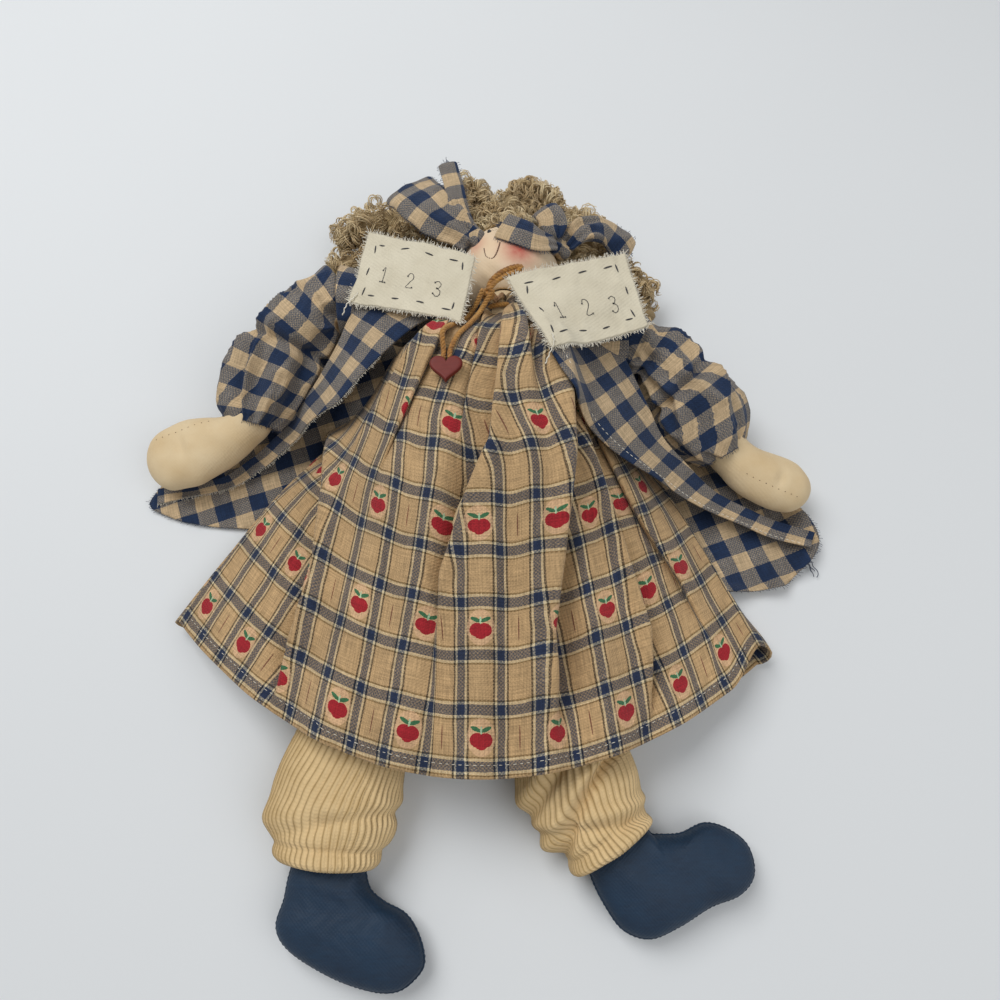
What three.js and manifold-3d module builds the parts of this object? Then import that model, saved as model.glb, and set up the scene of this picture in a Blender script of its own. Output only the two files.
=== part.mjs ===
// A rag doll lying on its back: a stuffed muslin body with a round head, mitten arms,
// ribbed stockings and flat painted boots. It wears a gathered A-line smock, an open
// swing jacket, two stitched collar patches, twine with a heart charm, and torn-strip
// bows in curly wool hair. Millimetres, +Z up, head towards +Y, origin under the middle.

import * as THREE from 'three';
import { mergeVertices } from 'three/addons/utils/BufferGeometryUtils.js';
import Module from 'manifold-3d';

const wasm = await Module();
wasm.setup();

// Driving dimensions
const gap = 0.3; // clearance between neighbouring pieces
const jacketCloth = 2.2; // thickness of a jacket layer
const dressCloth = 2.4; // thickness of the gathered smock cloth
const collarCloth = 2.0; // thickness of a double muslin collar patch

const headRadius = 29;
const headCentre = new THREE.Vector3(15.6, 142.6, 42);
const hairThickness = 6;

const neckRadius = 12;
const neckPivot = new THREE.Vector3(13, 112, 54);

const torsoHalfWidth = 43;
const torsoHalfHeight = 35;

const hipY = -20; // fold line of the hips
const hipZ = 30;

const dressNeckY = 106;
const dressHemY = -127; // front hem at the middle
const dressHemRiseLeft = 78; // how far the hem runs up at each side
const dressHemRiseRight = 58;
const dressNeckHalf = 20;
const dressHemHalfLeft = 160;
const dressHemHalfRight = 146;
const foldDepth = 6;
const foldCount = 9;

const legHalfWidth = 16;
const legHalfHeight = 12.5;
const stockingHalfWidth = 27;
const stockingHalfHeight = 14.5;
const ankleRadius = 17;
const bootThickness = 23;
const leftAnkle = new THREE.Vector3(-69.4, -166, 0);
const rightAnkle = new THREE.Vector3(68.2, -160, 0);
const rightBootTurn = 34; // degrees that the right foot points further outwards
const legTopX = 28;

const leftShoulder = new THREE.Vector3(-78, 128, 42);
const rightShoulder = new THREE.Vector3(79, 98, 42);
const shoulderStubRadius = 10;
const shoulderPadRadius = 21;
const armHalfWidth = 11.5;
const leftHandHalfWidth = 20;
const rightHandHalfWidth = 14;

const twineDiameter = 3;
const knotRadius = 4;
const heartWidth = 16;
const heartThickness = 3.4;
const heartX = -15;
const heartY = 58.2; // middle of the heart, where it lies on the chest

// A smooth value along a length, through [place, value] stations
function along(stations) {
  const last = stations.length - 1;
  return (place) => {
    let i = 0;
    while (i < last - 1 && place > stations[i + 1][0]) i += 1;
    const [s0, v0] = stations[i];
    const [s1, v1] = stations[i + 1];
    const before = stations[Math.max(i - 1, 0)];
    const after = stations[Math.min(i + 2, last)];
    const span = s1 - s0;
    const slope0 = ((v1 - before[1]) / (s1 - before[0])) * span;
    const slope1 = ((after[1] - v0) / (after[0] - s0)) * span;
    const t = THREE.MathUtils.clamp((place - s0) / span, 0, 1);
    const t2 = t * t;
    const t3 = t2 * t;
    const start = (2 * t3 - 3 * t2 + 1) * v0 + (t3 - 2 * t2 + t) * slope0;
    return start + (3 * t2 - 2 * t3) * v1 + (t3 - t2) * slope1;
  };
}

// Closed solids from geometry, and back
function solidOf(geometry) {
  const bare = geometry.index ? geometry.toNonIndexed() : geometry.clone();
  bare.deleteAttribute('normal');
  bare.deleteAttribute('uv');
  const merged = mergeVertices(bare, 1e-4);
  const vertProperties = new Float32Array(merged.attributes.position.array);
  const triVerts = new Uint32Array(merged.index.array);
  return new wasm.Manifold(new wasm.Mesh({ numProp: 3, vertProperties, triVerts }));
}

function geometryOf(solid) {
  const mesh = solid.getMesh();
  const geometry = new THREE.BufferGeometry();
  geometry.setAttribute('position', new THREE.BufferAttribute(mesh.vertProperties, 3));
  geometry.setIndex(new THREE.BufferAttribute(mesh.triVerts, 1));
  geometry.computeVertexNormals();
  return geometry;
}

function trimmed(solid, ...cutters) {
  return cutters.reduce((rest, cutter) => rest.subtract(cutter), solid);
}

// A closed body from points and triangles, turned to face outwards
function closedBody(points, triangles) {
  let volume = 0;
  for (let i = 0; i < triangles.length; i += 3) {
    const [a, b, c] = [points[triangles[i]], points[triangles[i + 1]], points[triangles[i + 2]]];
    volume += new THREE.Vector3().crossVectors(b, c).dot(a);
  }
  if (volume < 0) triangles.reverse();
  const geometry = new THREE.BufferGeometry();
  const numbers = points.flatMap((p) => [p.x, p.y, p.z]);
  geometry.setAttribute('position', new THREE.Float32BufferAttribute(numbers, 3));
  geometry.setIndex(triangles);
  return solidOf(geometry);
}

// A body through rings of points, closed by a fan at each end
function loft(rings) {
  const count = rings[0].length;
  const points = rings.flat();
  const triangles = [];
  for (let r = 0; r < rings.length - 1; r += 1) {
    for (let i = 0; i < count; i += 1) {
      const a = r * count + i;
      const b = r * count + ((i + 1) % count);
      triangles.push(a, b, b + count, a, b + count, a + count);
    }
  }
  const closeEnd = (ring, start, flip) => {
    const middle = ring.reduce((sum, p) => sum.add(p), new THREE.Vector3()).divideScalar(count);
    const centre = points.push(middle) - 1;
    for (let i = 0; i < count; i += 1) {
      const a = start + i;
      const b = start + ((i + 1) % count);
      triangles.push(...(flip ? [centre, b, a] : [centre, a, b]));
    }
  };
  closeEnd(rings[0], 0, true);
  closeEnd(rings[rings.length - 1], (rings.length - 1) * count, false);
  return closedBody(points, triangles);
}

// A stuffed limb: oval rings along a curve, with rounded ends
function limb({
  path, halfWidth, halfHeight, sides = 12, steps = 10, grow = 0, startRound = 8, endRound = 8,
}) {
  const curve = new THREE.CatmullRomCurve3(path.map((p) => new THREE.Vector3(...p)), false, 'centripetal');
  const length = curve.getLength();
  const up = new THREE.Vector3(0, 0, 1);
  const places = [];
  for (const share of [0.02, 0.15, 0.45]) places.push(share * startRound);
  for (let i = 0; i <= steps; i += 1) {
    places.push(startRound + (length - startRound - endRound) * (i / steps));
  }
  for (const share of [0.45, 0.15, 0.02]) places.push(length - share * endRound);
  const roundness = (distance, radius) => {
    const share = Math.min(1, distance / radius);
    return Math.sqrt(1 - (1 - share) ** 2);
  };
  const rings = places.map((place) => {
    const s = place / length;
    const centre = curve.getPointAt(s);
    const tangent = curve.getTangentAt(s);
    const side = new THREE.Vector3().crossVectors(tangent, up).normalize();
    const top = new THREE.Vector3().crossVectors(side, tangent).normalize();
    const share = roundness(place, startRound) * roundness(length - place, endRound);
    const w = halfWidth(s) * share + grow;
    const h = halfHeight(s) * share + grow;
    const ring = [];
    for (let i = 0; i < sides; i += 1) {
      const angle = (2 * Math.PI * i) / sides;
      const point = centre.clone();
      point.addScaledVector(side, w * Math.cos(angle));
      point.addScaledVector(top, h * Math.sin(angle));
      ring.push(point);
    }
    return ring;
  });
  if (grow > 0) {
    const first = rings[0].map((p) => p.clone().addScaledVector(curve.getTangentAt(0), -grow));
    const last = rings[rings.length - 1].map((p) => p.clone().addScaledVector(curve.getTangentAt(1), grow));
    return loft([first, ...rings, last]);
  }
  return loft(rings);
}

// A layer of cloth between two edges, lying on whatever is under it
function layer({ edgeA, edgeB, across, lengthwise, thickness, lies = () => -Infinity, grow = 0 }) {
  const curveA = new THREE.CatmullRomCurve3(edgeA.map((p) => new THREE.Vector3(...p)), false, 'centripetal');
  const curveB = new THREE.CatmullRomCurve3(edgeB.map((p) => new THREE.Vector3(...p)), false, 'centripetal');
  const lower = [];
  for (let j = 0; j <= lengthwise; j += 1) {
    const a = curveA.getPoint(j / lengthwise);
    const b = curveB.getPoint(j / lengthwise);
    const margin = grow / a.distanceTo(b);
    for (let i = 0; i <= across; i += 1) {
      const point = a.clone().lerp(b, -margin + (1 + 2 * margin) * (i / across));
      if (j === 0) point.addScaledVector(curveA.getTangent(0), -grow);
      if (j === lengthwise) point.addScaledVector(curveA.getTangent(1), grow);
      point.z = Math.max(point.z, lies(point.x, point.y));
      lower.push(point);
    }
  }
  const upper = lower.map((p) => new THREE.Vector3(p.x, p.y, p.z + thickness + grow));
  const base = lower.map((p) => new THREE.Vector3(p.x, p.y, p.z - grow));
  const points = [...base, ...upper];
  const row = across + 1;
  const offset = base.length;
  const triangles = [];
  for (let j = 0; j < lengthwise; j += 1) {
    for (let i = 0; i < across; i += 1) {
      const a = j * row + i;
      triangles.push(a, a + 1, a + row + 1, a, a + row + 1, a + row);
      const t = a + offset;
      triangles.push(t, t + row + 1, t + 1, t, t + row, t + row + 1);
    }
  }
  const rim = [];
  for (let i = 0; i < across; i += 1) rim.push(i);
  for (let j = 0; j < lengthwise; j += 1) rim.push(j * row + across);
  for (let i = across; i > 0; i -= 1) rim.push(lengthwise * row + i);
  for (let j = lengthwise; j > 0; j -= 1) rim.push(j * row);
  rim.forEach((a, k) => {
    const b = rim[(k + 1) % rim.length];
    triangles.push(a, b + offset, b, a, a + offset, b + offset);
  });
  return closedBody(points, triangles);
}

// A block with the given outline across Y and Z, wide enough to cut the whole doll
const beyond = 400; // farther than any piece reaches from a plane that cuts it
function crossBlock(outline) {
  const width = 2 * beyond;
  const shape = new THREE.Shape(outline.map(([y, z]) => new THREE.Vector2(y, z)));
  const block = new THREE.ExtrudeGeometry(shape, { depth: width, bevelEnabled: false });
  const turn = new THREE.Matrix4().makeBasis(
    new THREE.Vector3(0, 1, 0), new THREE.Vector3(0, 0, 1), new THREE.Vector3(1, 0, 0));
  block.applyMatrix4(turn);
  block.translate(-width / 2, 0, 0);
  return solidOf(block);
}

function box(min, max) {
  const size = [max[0] - min[0], max[1] - min[1], max[2] - min[2]];
  const geometry = new THREE.BoxGeometry(...size);
  geometry.translate(min[0] + size[0] / 2, min[1] + size[1] / 2, min[2] + size[2] / 2);
  return solidOf(geometry);
}

function ball(centre, radius, around = 20, over = 14) {
  const geometry = new THREE.SphereGeometry(radius, around, over);
  geometry.translate(centre.x, centre.y, centre.z);
  return solidOf(geometry);
}

// Everything beyond a plane square to X, on one side of it
function beside(x, side) {
  const far = x + side * beyond;
  return box([Math.min(x, far), -beyond, -beyond], [Math.max(x, far), beyond, beyond]);
}

// The smock: the same surface gives its outside, its inside and what lies on it
const backZ = jacketCloth + gap;
const edgeRoll = 8;
const dressHeight = along([[0, 70], [0.1, 84], [0.25, 86], [0.45, 80], [0.6, 68], [0.8, 57], [1, 53]]);
const dressBack = along([[0, 40], [0.06, 14], [0.14, backZ], [0.2, backZ], [1, backZ]]);
const dressFullness = along([[0, 2], [0.1, 2.8], [0.3, 2.6], [0.55, 1.9], [1, 2.1]]);
const dressMiddle = (t) => THREE.MathUtils.lerp(12, 2, Math.max(t, 0));

function dressHalf(t, u) {
  const hem = u < 0 ? dressHemHalfLeft : dressHemHalfRight;
  const flare = u < 0 ? 0.62 : 0.72;
  return dressNeckHalf + (hem - dressNeckHalf) * Math.max(t, 0) ** flare;
}

function dressY(t, u) {
  const rise = u < 0 ? dressHemRiseLeft : dressHemRiseRight;
  return dressNeckY + (dressHemY + rise * u * u - dressNeckY) * t;
}

function dressFront(t, u) {
  const low = dressBack(t) + edgeRoll;
  const body = 1 - Math.abs(u) ** dressFullness(t);
  const fold = foldDepth * Math.max(t, 0) * (1 - u * u) * Math.cos(foldCount * Math.PI * u + 0.6);
  return low + (dressHeight(t) - low) * body + fold;
}

function dressRing(t, inset) {
  const frontSteps = 24;
  const backSteps = 6;
  const ring = [];
  const place = (u, z) => {
    const half = dressHalf(t, u) - 1.6 * inset;
    ring.push(new THREE.Vector3(dressMiddle(t) + half * u, dressY(t, u), z));
  };
  for (let i = 0; i <= frontSteps; i += 1) {
    const u = -Math.cos((Math.PI * i) / frontSteps);
    place(u, dressFront(t, u) - inset);
  }
  for (let i = 0; i <= backSteps; i += 1) {
    const u = Math.cos((Math.PI * i) / backSteps);
    place(u, dressBack(t) + inset);
  }
  return ring;
}

const dressStations = [0, 0.04, 0.1, 0.2, 0.32, 0.48, 0.64, 0.82, 1];
const dressOutside = (grow = 0) => {
  const rings = dressStations.map((t) => dressRing(t, -grow));
  if (grow === 0) return loft(rings);
  return loft([dressRing(-0.004, -grow), ...rings.slice(1)]);
};

const dressInside = (room = 0) => loft(
  [-0.02, ...dressStations.slice(1, -1), 1.06].map((t) => dressRing(t, dressCloth + room)));
const dressShell = () => trimmed(dressOutside(), dressInside());

// Height of the smock's front over a point, found by walking its two directions
function dressTop(x, y) {
  let t = 0.3;
  let u = 0;
  for (let i = 0; i < 24; i += 1) {
    u = THREE.MathUtils.clamp((x - dressMiddle(t)) / dressHalf(t, x - dressMiddle(t)), -1, 1);
    const reach = dressY(1, u) - dressNeckY;
    t = THREE.MathUtils.clamp((t + (y - dressNeckY) / reach) / 2, 0, 1);
  }
  const outside = Math.abs(x - dressMiddle(t)) > dressHalf(t, x - dressMiddle(t)) + 2;
  return outside ? backZ : dressFront(t, u);
}

// The highest of the smock around a point, so that cloth lies over its folds
function overDress(x, y, reach = 3) {
  let top = backZ;
  for (const dx of [-reach, 0, reach]) {
    for (const dy of [-reach, 0, reach]) top = Math.max(top, dressTop(x + dx, y + dy));
  }
  return top + gap;
}

// The fold at the hips: above it the smock's front opens in a wedge, below it is cut
const bodiceSide = (shift = 0) => crossBlock([
  [hipY + gap / 2 + shift, -beyond], [2 * beyond, -beyond], [2 * beyond, hipZ + beyond],
  [hipY + gap / 2 + shift + beyond, hipZ + beyond], [hipY + gap / 2 + shift, hipZ]]);
const skirtSide = (shift = 0) => crossBlock([
  [hipY - gap / 2 - shift, -beyond], [hipY - gap / 2 - shift, hipZ],
  [hipY - gap / 2 - shift - beyond, hipZ + beyond], [-2 * beyond, hipZ + beyond], [-2 * beyond, -beyond]]);
const bandSide = () => crossBlock([
  [hipY, hipZ + gap], [hipY + beyond - gap, hipZ + beyond], [hipY - beyond + gap, hipZ + beyond]]);

const wholeDress = dressShell();
const dressBodice = wholeDress.intersect(bodiceSide());
const dressHipBand = wholeDress.intersect(bandSide());
const dressSkirt = wholeDress.intersect(skirtSide());

// The stuffed torso with its neck, which ends in a ball inside the head
const torsoLength = neckPivot.y - hipY;
const torsoBed = backZ + dressCloth + gap;
function torsoShape() {
  const width = along([[0, 0.86], [0.3, 1], [0.62, 1], [0.82, 0.8], [1, 0.36]]);
  const height = along([[0, 0.8], [0.3, 1], [0.62, 1], [0.82, 0.82], [1, 0.42]]);
  const middleZ = torsoBed + torsoHalfHeight;
  const trunk = limb({
    path: [[0, hipY - 6, middleZ], [2, hipY + torsoLength * 0.35, middleZ],
      [8, hipY + torsoLength * 0.7, middleZ + 2], [neckPivot.x, neckPivot.y - 8, neckPivot.z - 3]],
    halfWidth: (s) => torsoHalfWidth * width(s),
    halfHeight: (s) => (torsoHalfHeight - 0.2) * height(s),
    sides: 14, steps: 8, startRound: 6, endRound: 5,
  });
  const neck = new THREE.CylinderGeometry(neckRadius, neckRadius, 20, 16);
  neck.translate(neckPivot.x, neckPivot.y - 10, neckPivot.z);
  const filling = trunk.intersect(dressInside(gap)).intersect(bodiceSide(gap));
  return filling.add(solidOf(neck)).add(ball(neckPivot, neckRadius, 16, 10));
}

// Legs and stockings, under and below the skirt
const legZ = torsoBed + stockingHalfHeight;
const leftLegPath = [
  [-legTopX, hipY - 6, legZ], [-46, -64, legZ], [-62, -112, legZ + 0.4], [-67, -138, legZ - 4],
  [leftAnkle.x, leftAnkle.y + ankleRadius, bootThickness / 2 + 3]];
const rightLegPath = [
  [legTopX, hipY - 6, legZ], [36, -66, legZ], [45, -118, legZ + 0.4], [54, -140, legZ - 4],
  [rightAnkle.x - 5, rightAnkle.y + ankleRadius * 0.9, bootThickness / 2 + 3]];

const leg = (path, grow = 0) => limb({
  path, grow, sides: 10, steps: 7, startRound: 14, endRound: 3,
  halfWidth: along([[0, legHalfWidth * 0.95], [0.4, legHalfWidth * 1.1], [1, legHalfWidth * 0.95]]),
  halfHeight: along([[0, legHalfHeight * 0.9], [0.4, legHalfHeight], [1, legHalfHeight * 0.8]]),
});

const bunch = (s) => 1 + 0.06 * Math.cos(s * Math.PI * 9);
function stocking(path, ankle) {
  const start = path[1];
  const lower = [[start[0] * 1.06, start[1] - 8, start[2]], ...path.slice(2, -1),
    [ankle.x, ankle.y - 1, stockingHalfHeight + 2 * gap]];
  const width = along([[0, 0.76], [0.35, 0.96], [0.75, 1.06], [1, 0.84]]);
  const outside = limb({
    path: lower, sides: 14, steps: 10, startRound: 3, endRound: 5,
    halfWidth: (s) => stockingHalfWidth * width(s) * bunch(s),
    halfHeight: () => stockingHalfHeight,
  });
  return trimmed(outside, leg(path, gap));
}

function ankleRoom(ankle) {
  const room = new THREE.CylinderGeometry(ankleRadius + 2 * gap, ankleRadius + 2 * gap, 120, 28);
  room.rotateX(Math.PI / 2);
  room.translate(ankle.x, ankle.y, 0);
  return solidOf(room);
}

// Flat stuffed boot, drawn with its ankle at the origin and its toe towards +X
function bootGeometry() {
  const outline = new THREE.Shape();
  outline.moveTo(-ankleRadius, 0);
  outline.bezierCurveTo(-ankleRadius - 2, -8, -ankleRadius - 6, -20, -ankleRadius - 5, -27);
  outline.bezierCurveTo(-ankleRadius - 3, -36, -6, -41, 4, -45);
  outline.bezierCurveTo(14, -49, 24, -52, 33, -50.5);
  outline.bezierCurveTo(42, -48, 48, -42, 46, -36);
  outline.bezierCurveTo(44, -27, 36, -18, 27, -15);
  outline.bezierCurveTo(21, -12, 18, -8, ankleRadius, 0);
  outline.absarc(0, 0, ankleRadius, 0, Math.PI, false);
  const round = bootThickness * 0.36;
  const boot = new THREE.ExtrudeGeometry(outline, {
    depth: bootThickness - 2 * round, curveSegments: 4,
    bevelEnabled: true, bevelThickness: round, bevelSize: round * 0.8, bevelOffset: -round * 0.8,
    bevelSegments: 2,
  });
  boot.translate(0, 0, round);
  return boot;
}

// Jacket: a flat back under the doll and two open fronts over the smock
const jacketBackShape = new THREE.Shape([
  [-26, 118], [-74, 140], [-100, 112], [-150, 62], [-187, 24], [-176, 12], [-150, 6], [-101, 2],
  [-40, -16], [40, -30], [100, -34], [154, -31], [171, -24], [187, 2], [150, 44], [108, 92],
  [80, 112], [44, 108],
].map(([x, y]) => new THREE.Vector2(x, y)));

function jacketBack() {
  const sheet = new THREE.ExtrudeGeometry(jacketBackShape, { depth: jacketCloth, bevelEnabled: false });
  return solidOf(sheet);
}

const jacketLies = (x, y) => Math.max(overDress(x, y), backZ + gap);
const jacketFrontLeft = (grow = 0) => layer({
  edgeA: [[-24, 103, 70], [-35, 97, 68], [-47, 83, 66], [-59, 72, 62], [-74, 59, 54], [-86, 57, 42],
    [-101, 52, 24], [-114, 45, 13], [-127, 37, 9], [-141, 29, 6], [-183, 19, 3]],
  edgeB: [[-44, 116, 62], [-62, 116, 60], [-70, 108, 57], [-77, 95, 50], [-85, 84, 43], [-94, 74, 34],
    [-104, 64, 25], [-116, 56, 15], [-132, 45, 8], [-150, 34, 5], [-184, 28, 3]],
  across: 5, lengthwise: 13, thickness: jacketCloth, lies: jacketLies, grow,
});
const jacketFrontRight = (grow = 0) => layer({
  edgeA: [[34, 88, 70], [34, 74, 70], [37, 65, 70], [47, 49, 68], [60, 34, 62], [77, 25, 52], [96, 19, 38],
    [118, 11, 22], [152, 0, 13], [180, -9, 8]],
  edgeB: [[50, 102, 62], [70, 94, 58], [78, 82, 54], [84, 70, 50], [90, 58, 46], [97, 46, 40], [108, 36, 32],
    [128, 22, 19], [156, 10, 12], [184, 0, 8]],
  across: 5, lengthwise: 13, thickness: jacketCloth, lies: jacketLies, grow,
});

// Padded shoulder of the jacket, with a round tunnel in which the arm turns
function shoulderPad(shoulder, inner) {
  const side = Math.sign(shoulder.x);
  const pad = limb({
    path: [inner, [(inner[0] + shoulder.x) / 2, (inner[1] + shoulder.y) / 2, shoulder.z + 2],
      [shoulder.x + side * 6, shoulder.y, shoulder.z]],
    halfWidth: along([[0, shoulderPadRadius * 0.75], [1, shoulderPadRadius]]),
    halfHeight: along([[0, shoulderPadRadius * 0.9], [1, shoulderPadRadius * 0.95]]),
    sides: 12, steps: 3, startRound: 8, endRound: 2,
  });
  const tunnel = new THREE.CylinderGeometry(shoulderStubRadius + gap, shoulderStubRadius + gap, 90, 20);
  tunnel.rotateZ(Math.PI / 2);
  tunnel.translate(shoulder.x - side * (45 - 24 + 30) + side * 30, shoulder.y, shoulder.z);
  return trimmed(pad, beside(shoulder.x, side), solidOf(tunnel));
}

// Arms: a round stub in the shoulder, then a bent stuffed limb with a mitten hand
function arm(shoulder, path, handHalf, grow = 0) {
  const side = Math.sign(shoulder.x);
  const stubRadius = shoulderStubRadius + grow;
  const stub = new THREE.CylinderGeometry(stubRadius, stubRadius, 24 + 2 * grow, 20);
  stub.rotateZ(Math.PI / 2);
  stub.translate(shoulder.x - side * 8, shoulder.y, shoulder.z);
  const flesh = limb({
    path, grow, sides: 10, steps: 11, startRound: 6, endRound: 12,
    halfWidth: along([[0, armHalfWidth * 0.85], [0.45, armHalfWidth], [0.62, armHalfWidth * 1.05],
      [0.84, handHalf], [1, handHalf * 0.8]]),
    halfHeight: along([[0, armHalfWidth * 0.85], [0.6, armHalfWidth], [0.85, armHalfWidth],
      [1, armHalfWidth * 0.8]]),
  });
  return solidOf(stub).add(flesh);
}

const fromShoulder = (shoulder, steps) => steps.map(
  ([dx, dy, dz]) => [shoulder.x + dx, shoulder.y + dy, shoulder.z + dz]);
const leftArmPath = fromShoulder(leftShoulder, [
  [-6, 0, 0], [-20, -14, -5], [-33, -36, -12], [-45, -58, -18], [-60, -74, -22], [-82, -83, -24],
  [-107, -92, -26]]);
const rightArmPath = fromShoulder(rightShoulder, [
  [6, 0, 0], [22, -12, -5], [39, -31, -11], [53, -50, -17], [67, -62, -21], [84, -69, -23],
  [101, -75, -25]]);

function sleeve(shoulder, steps, widths, heights) {
  return limb({
    path: fromShoulder(shoulder, steps), sides: 12, steps: 9, startRound: 6, endRound: 4,
    halfWidth: along(widths), halfHeight: along(heights),
  });
}

const sleeveStart = (shoulder) => {
  const side = Math.sign(shoulder.x);
  return beside(shoulder.x + side * 2 * gap, -side);
};

// Head: a stuffed ball with a socket for the neck, and hair round its back and top
const socket = ball(neckPivot, neckRadius + gap, 18, 12);
const headBall = (grow = 0) => ball(headCentre, headRadius + grow, 24, 15);
function hairCap(grow = 0) {
  const crown = ball(
    new THREE.Vector3(headCentre.x, headCentre.y + 4, headCentre.z - 2),
      headRadius + hairThickness + grow, 22, 13);
  const faceSide = new THREE.BoxGeometry(beyond, beyond, beyond);
  faceSide.translate(0, 0, beyond / 2 + grow);
  faceSide.rotateX(THREE.MathUtils.degToRad(40));
  faceSide.translate(headCentre.x, headCentre.y, headCentre.z);
  const neckRoom = box([-60, 60, -20], [100, headCentre.y - 14 - grow, 120]);
  return trimmed(crown, solidOf(faceSide), headBall(gap - grow), neckRoom);
}

// Places round the head are in head radii from its centre
const roundHead = (path) => path.map(([x, y, z]) => [
  headCentre.x + headRadius * x, headCentre.y + headRadius * y, headCentre.z + headRadius * z]);
const lump = (s) => 1 + 0.14 * Math.sin(s * Math.PI * 7);
const lock = (path, radius, grow = 0) => limb({
  path, grow, sides: 8, steps: 7, startRound: radius * 0.8, endRound: radius * 0.9,
  halfWidth: (s) => radius * (1.05 - 0.25 * s) * lump(s),
  halfHeight: (s) => radius * (0.9 - 0.2 * s) * lump(s + 0.1),
});
const lockPlans = [
  ['hair_lock_left_1', [[-1.02, 1.01, -0.14], [-1.78, 1.57, -0.28], [-2.68, 1.84, -0.55],
    [-3.71, 1.57, -0.9]], 0.483],
  ['hair_lock_left_2', [[-1.09, 0.32, -0.62], [-1.99, 0.88, -0.83], [-2.88, 1.08, -0.93],
    [-3.92, 0.94, -1.03]], 0.414],
  ['hair_crown_1', [[-0.47, 0.81, 0.07], [-1.09, 1.5, 0.28], [-0.88, 2.05, 0.14],
    [-0.4, 1.91, -0.14]], 0.362],
  ['hair_crown_2', [[0.15, 1.22, 0.14], [0.08, 1.77, 0.14], [0.63, 2.05, 0], [0.98, 1.57, 0]], 0.362],
  ['hair_crown_3', [[0.91, 0.88, -0.14], [1.46, 1.36, -0.28], [1.67, 1.77, -0.55],
    [1.19, 2.05, -0.83]], 0.362],
  ['hair_lock_right_1', [[1.12, 0.26, -0.21], [1.67, 0.39, -0.28], [2.36, 0.53, -0.55],
    [3.05, 0.26, -0.86]], 0.345],
  ['hair_lock_right_2', [[0.91, -0.23, -0.76], [1.6, -0.09, -0.93], [2.43, -0.02, -1.03],
    [3.12, -0.16, -1.07]], 0.328],
];

// Torn-strip bows: a knot, a soft loop and a tail on each side of the crown
const strip = (path, half, thick, grow = 0) => limb({
  path, grow, sides: 8, steps: 4, startRound: 3, endRound: 3,
  halfWidth: along([[0, half * 0.5], [0.5, half], [1, half * 0.8]]), halfHeight: () => thick,
});
const bowPlans = [
  ['bow_left_knot', [[-0.99, 0.39, 0.45], [-0.71, 0.39, 0.62], [-0.43, 0.36, 0.76]], 6, 4.5],
  ['bow_left_loop', [[-0.81, 0.46, 0.66], [-1.3, 0.81, 0.76], [-1.71, 1.32, 0.69],
    [-2.02, 1.84, 0.48]], 12, 4],
  ['bow_left_tail', [[-0.71, 0.53, 0.79], [-0.95, 1.01, 0.93], [-1.06, 1.5, 0.93],
    [-1.19, 2.05, 0.86]], 4.5, 1.6],
  ['bow_right_knot', [[0.74, 0.39, 0.59], [0.98, 0.39, 0.45], [1.19, 0.36, 0.28]], 6, 4.5],
  ['bow_right_loop', [[1.08, 0.43, 0.41], [1.5, 0.81, 0.45], [1.98, 0.94, 0.21],
    [2.46, 0.63, -0.07]], 9, 3.6],
  ['bow_right_fold', [[0.88, 0.43, 0.62], [0.84, 0.81, 0.76], [0.67, 1.12, 0.69]], 8, 3],
  ['bow_right_tail', [[0.84, 0.39, 0.69], [0.46, 0.29, 0.95], [0.15, 0.29, 1.03],
    [-0.09, 0.34, 1.01]], 6, 1.4],
];

// A small piece that sits on the face, at a direction from the head's centre
function onFace(px, py, reach) {
  const flat = new THREE.Vector2(px, py);
  const depth = Math.sqrt(Math.max(headRadius ** 2 - flat.lengthSq(), 0));
  const share = (headRadius + reach) / headRadius;
  return new THREE.Vector3(headCentre.x + px * share, headCentre.y + py * share,
    headCentre.z + depth * share);
}
const leftEyePlace = [-10.4, 13.6];
const rightEyePlace = [9.2, 12.4];
const eyeRadius = 2;
const eye = ([x, y]) => ball(onFace(x, y, -0.6), eyeRadius, 12, 8).subtract(headBall(gap));
function nose() {
  const places = [[-4.6, 2.5], [-5.4, -1], [-7, -5], [-9, -6.6], [-12, -4.5], [-13.2, 0.7]];
  return limb({
    path: places.map(([x, y]) => onFace(x, y, 0.9 + gap).toArray()), sides: 5, steps: 10, startRound: 1,
    endRound: 1,
    halfWidth: () => 0.8, halfHeight: () => 0.8,
  }).subtract(headBall(gap));
}

// Collar patches, each lying on the shoulder from its neck edge outwards
const chest = (x) => 80 - (x < neckPivot.x ? 0.0036 : 0.0026) * (x - neckPivot.x) ** 2;
const collarLies = (x, y) => Math.max(overDress(x, y), chest(x)) + jacketCloth + gap;
const collarLeft = (grow = 0) => layer({
  edgeA: [[-61, 154, 58], [-2, 127, 80]], edgeB: [[-70, 114, 60], [-10, 88, 80]],
  across: 6, lengthwise: 8, thickness: collarCloth, lies: collarLies, grow,
});
const collarRight = (grow = 0) => layer({
  edgeA: [[15, 114, 80], [77, 136, 58]], edgeB: [[36, 68, 80], [87, 93, 60]],
  across: 6, lengthwise: 8, thickness: collarCloth, lies: collarLies, grow,
});

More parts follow.
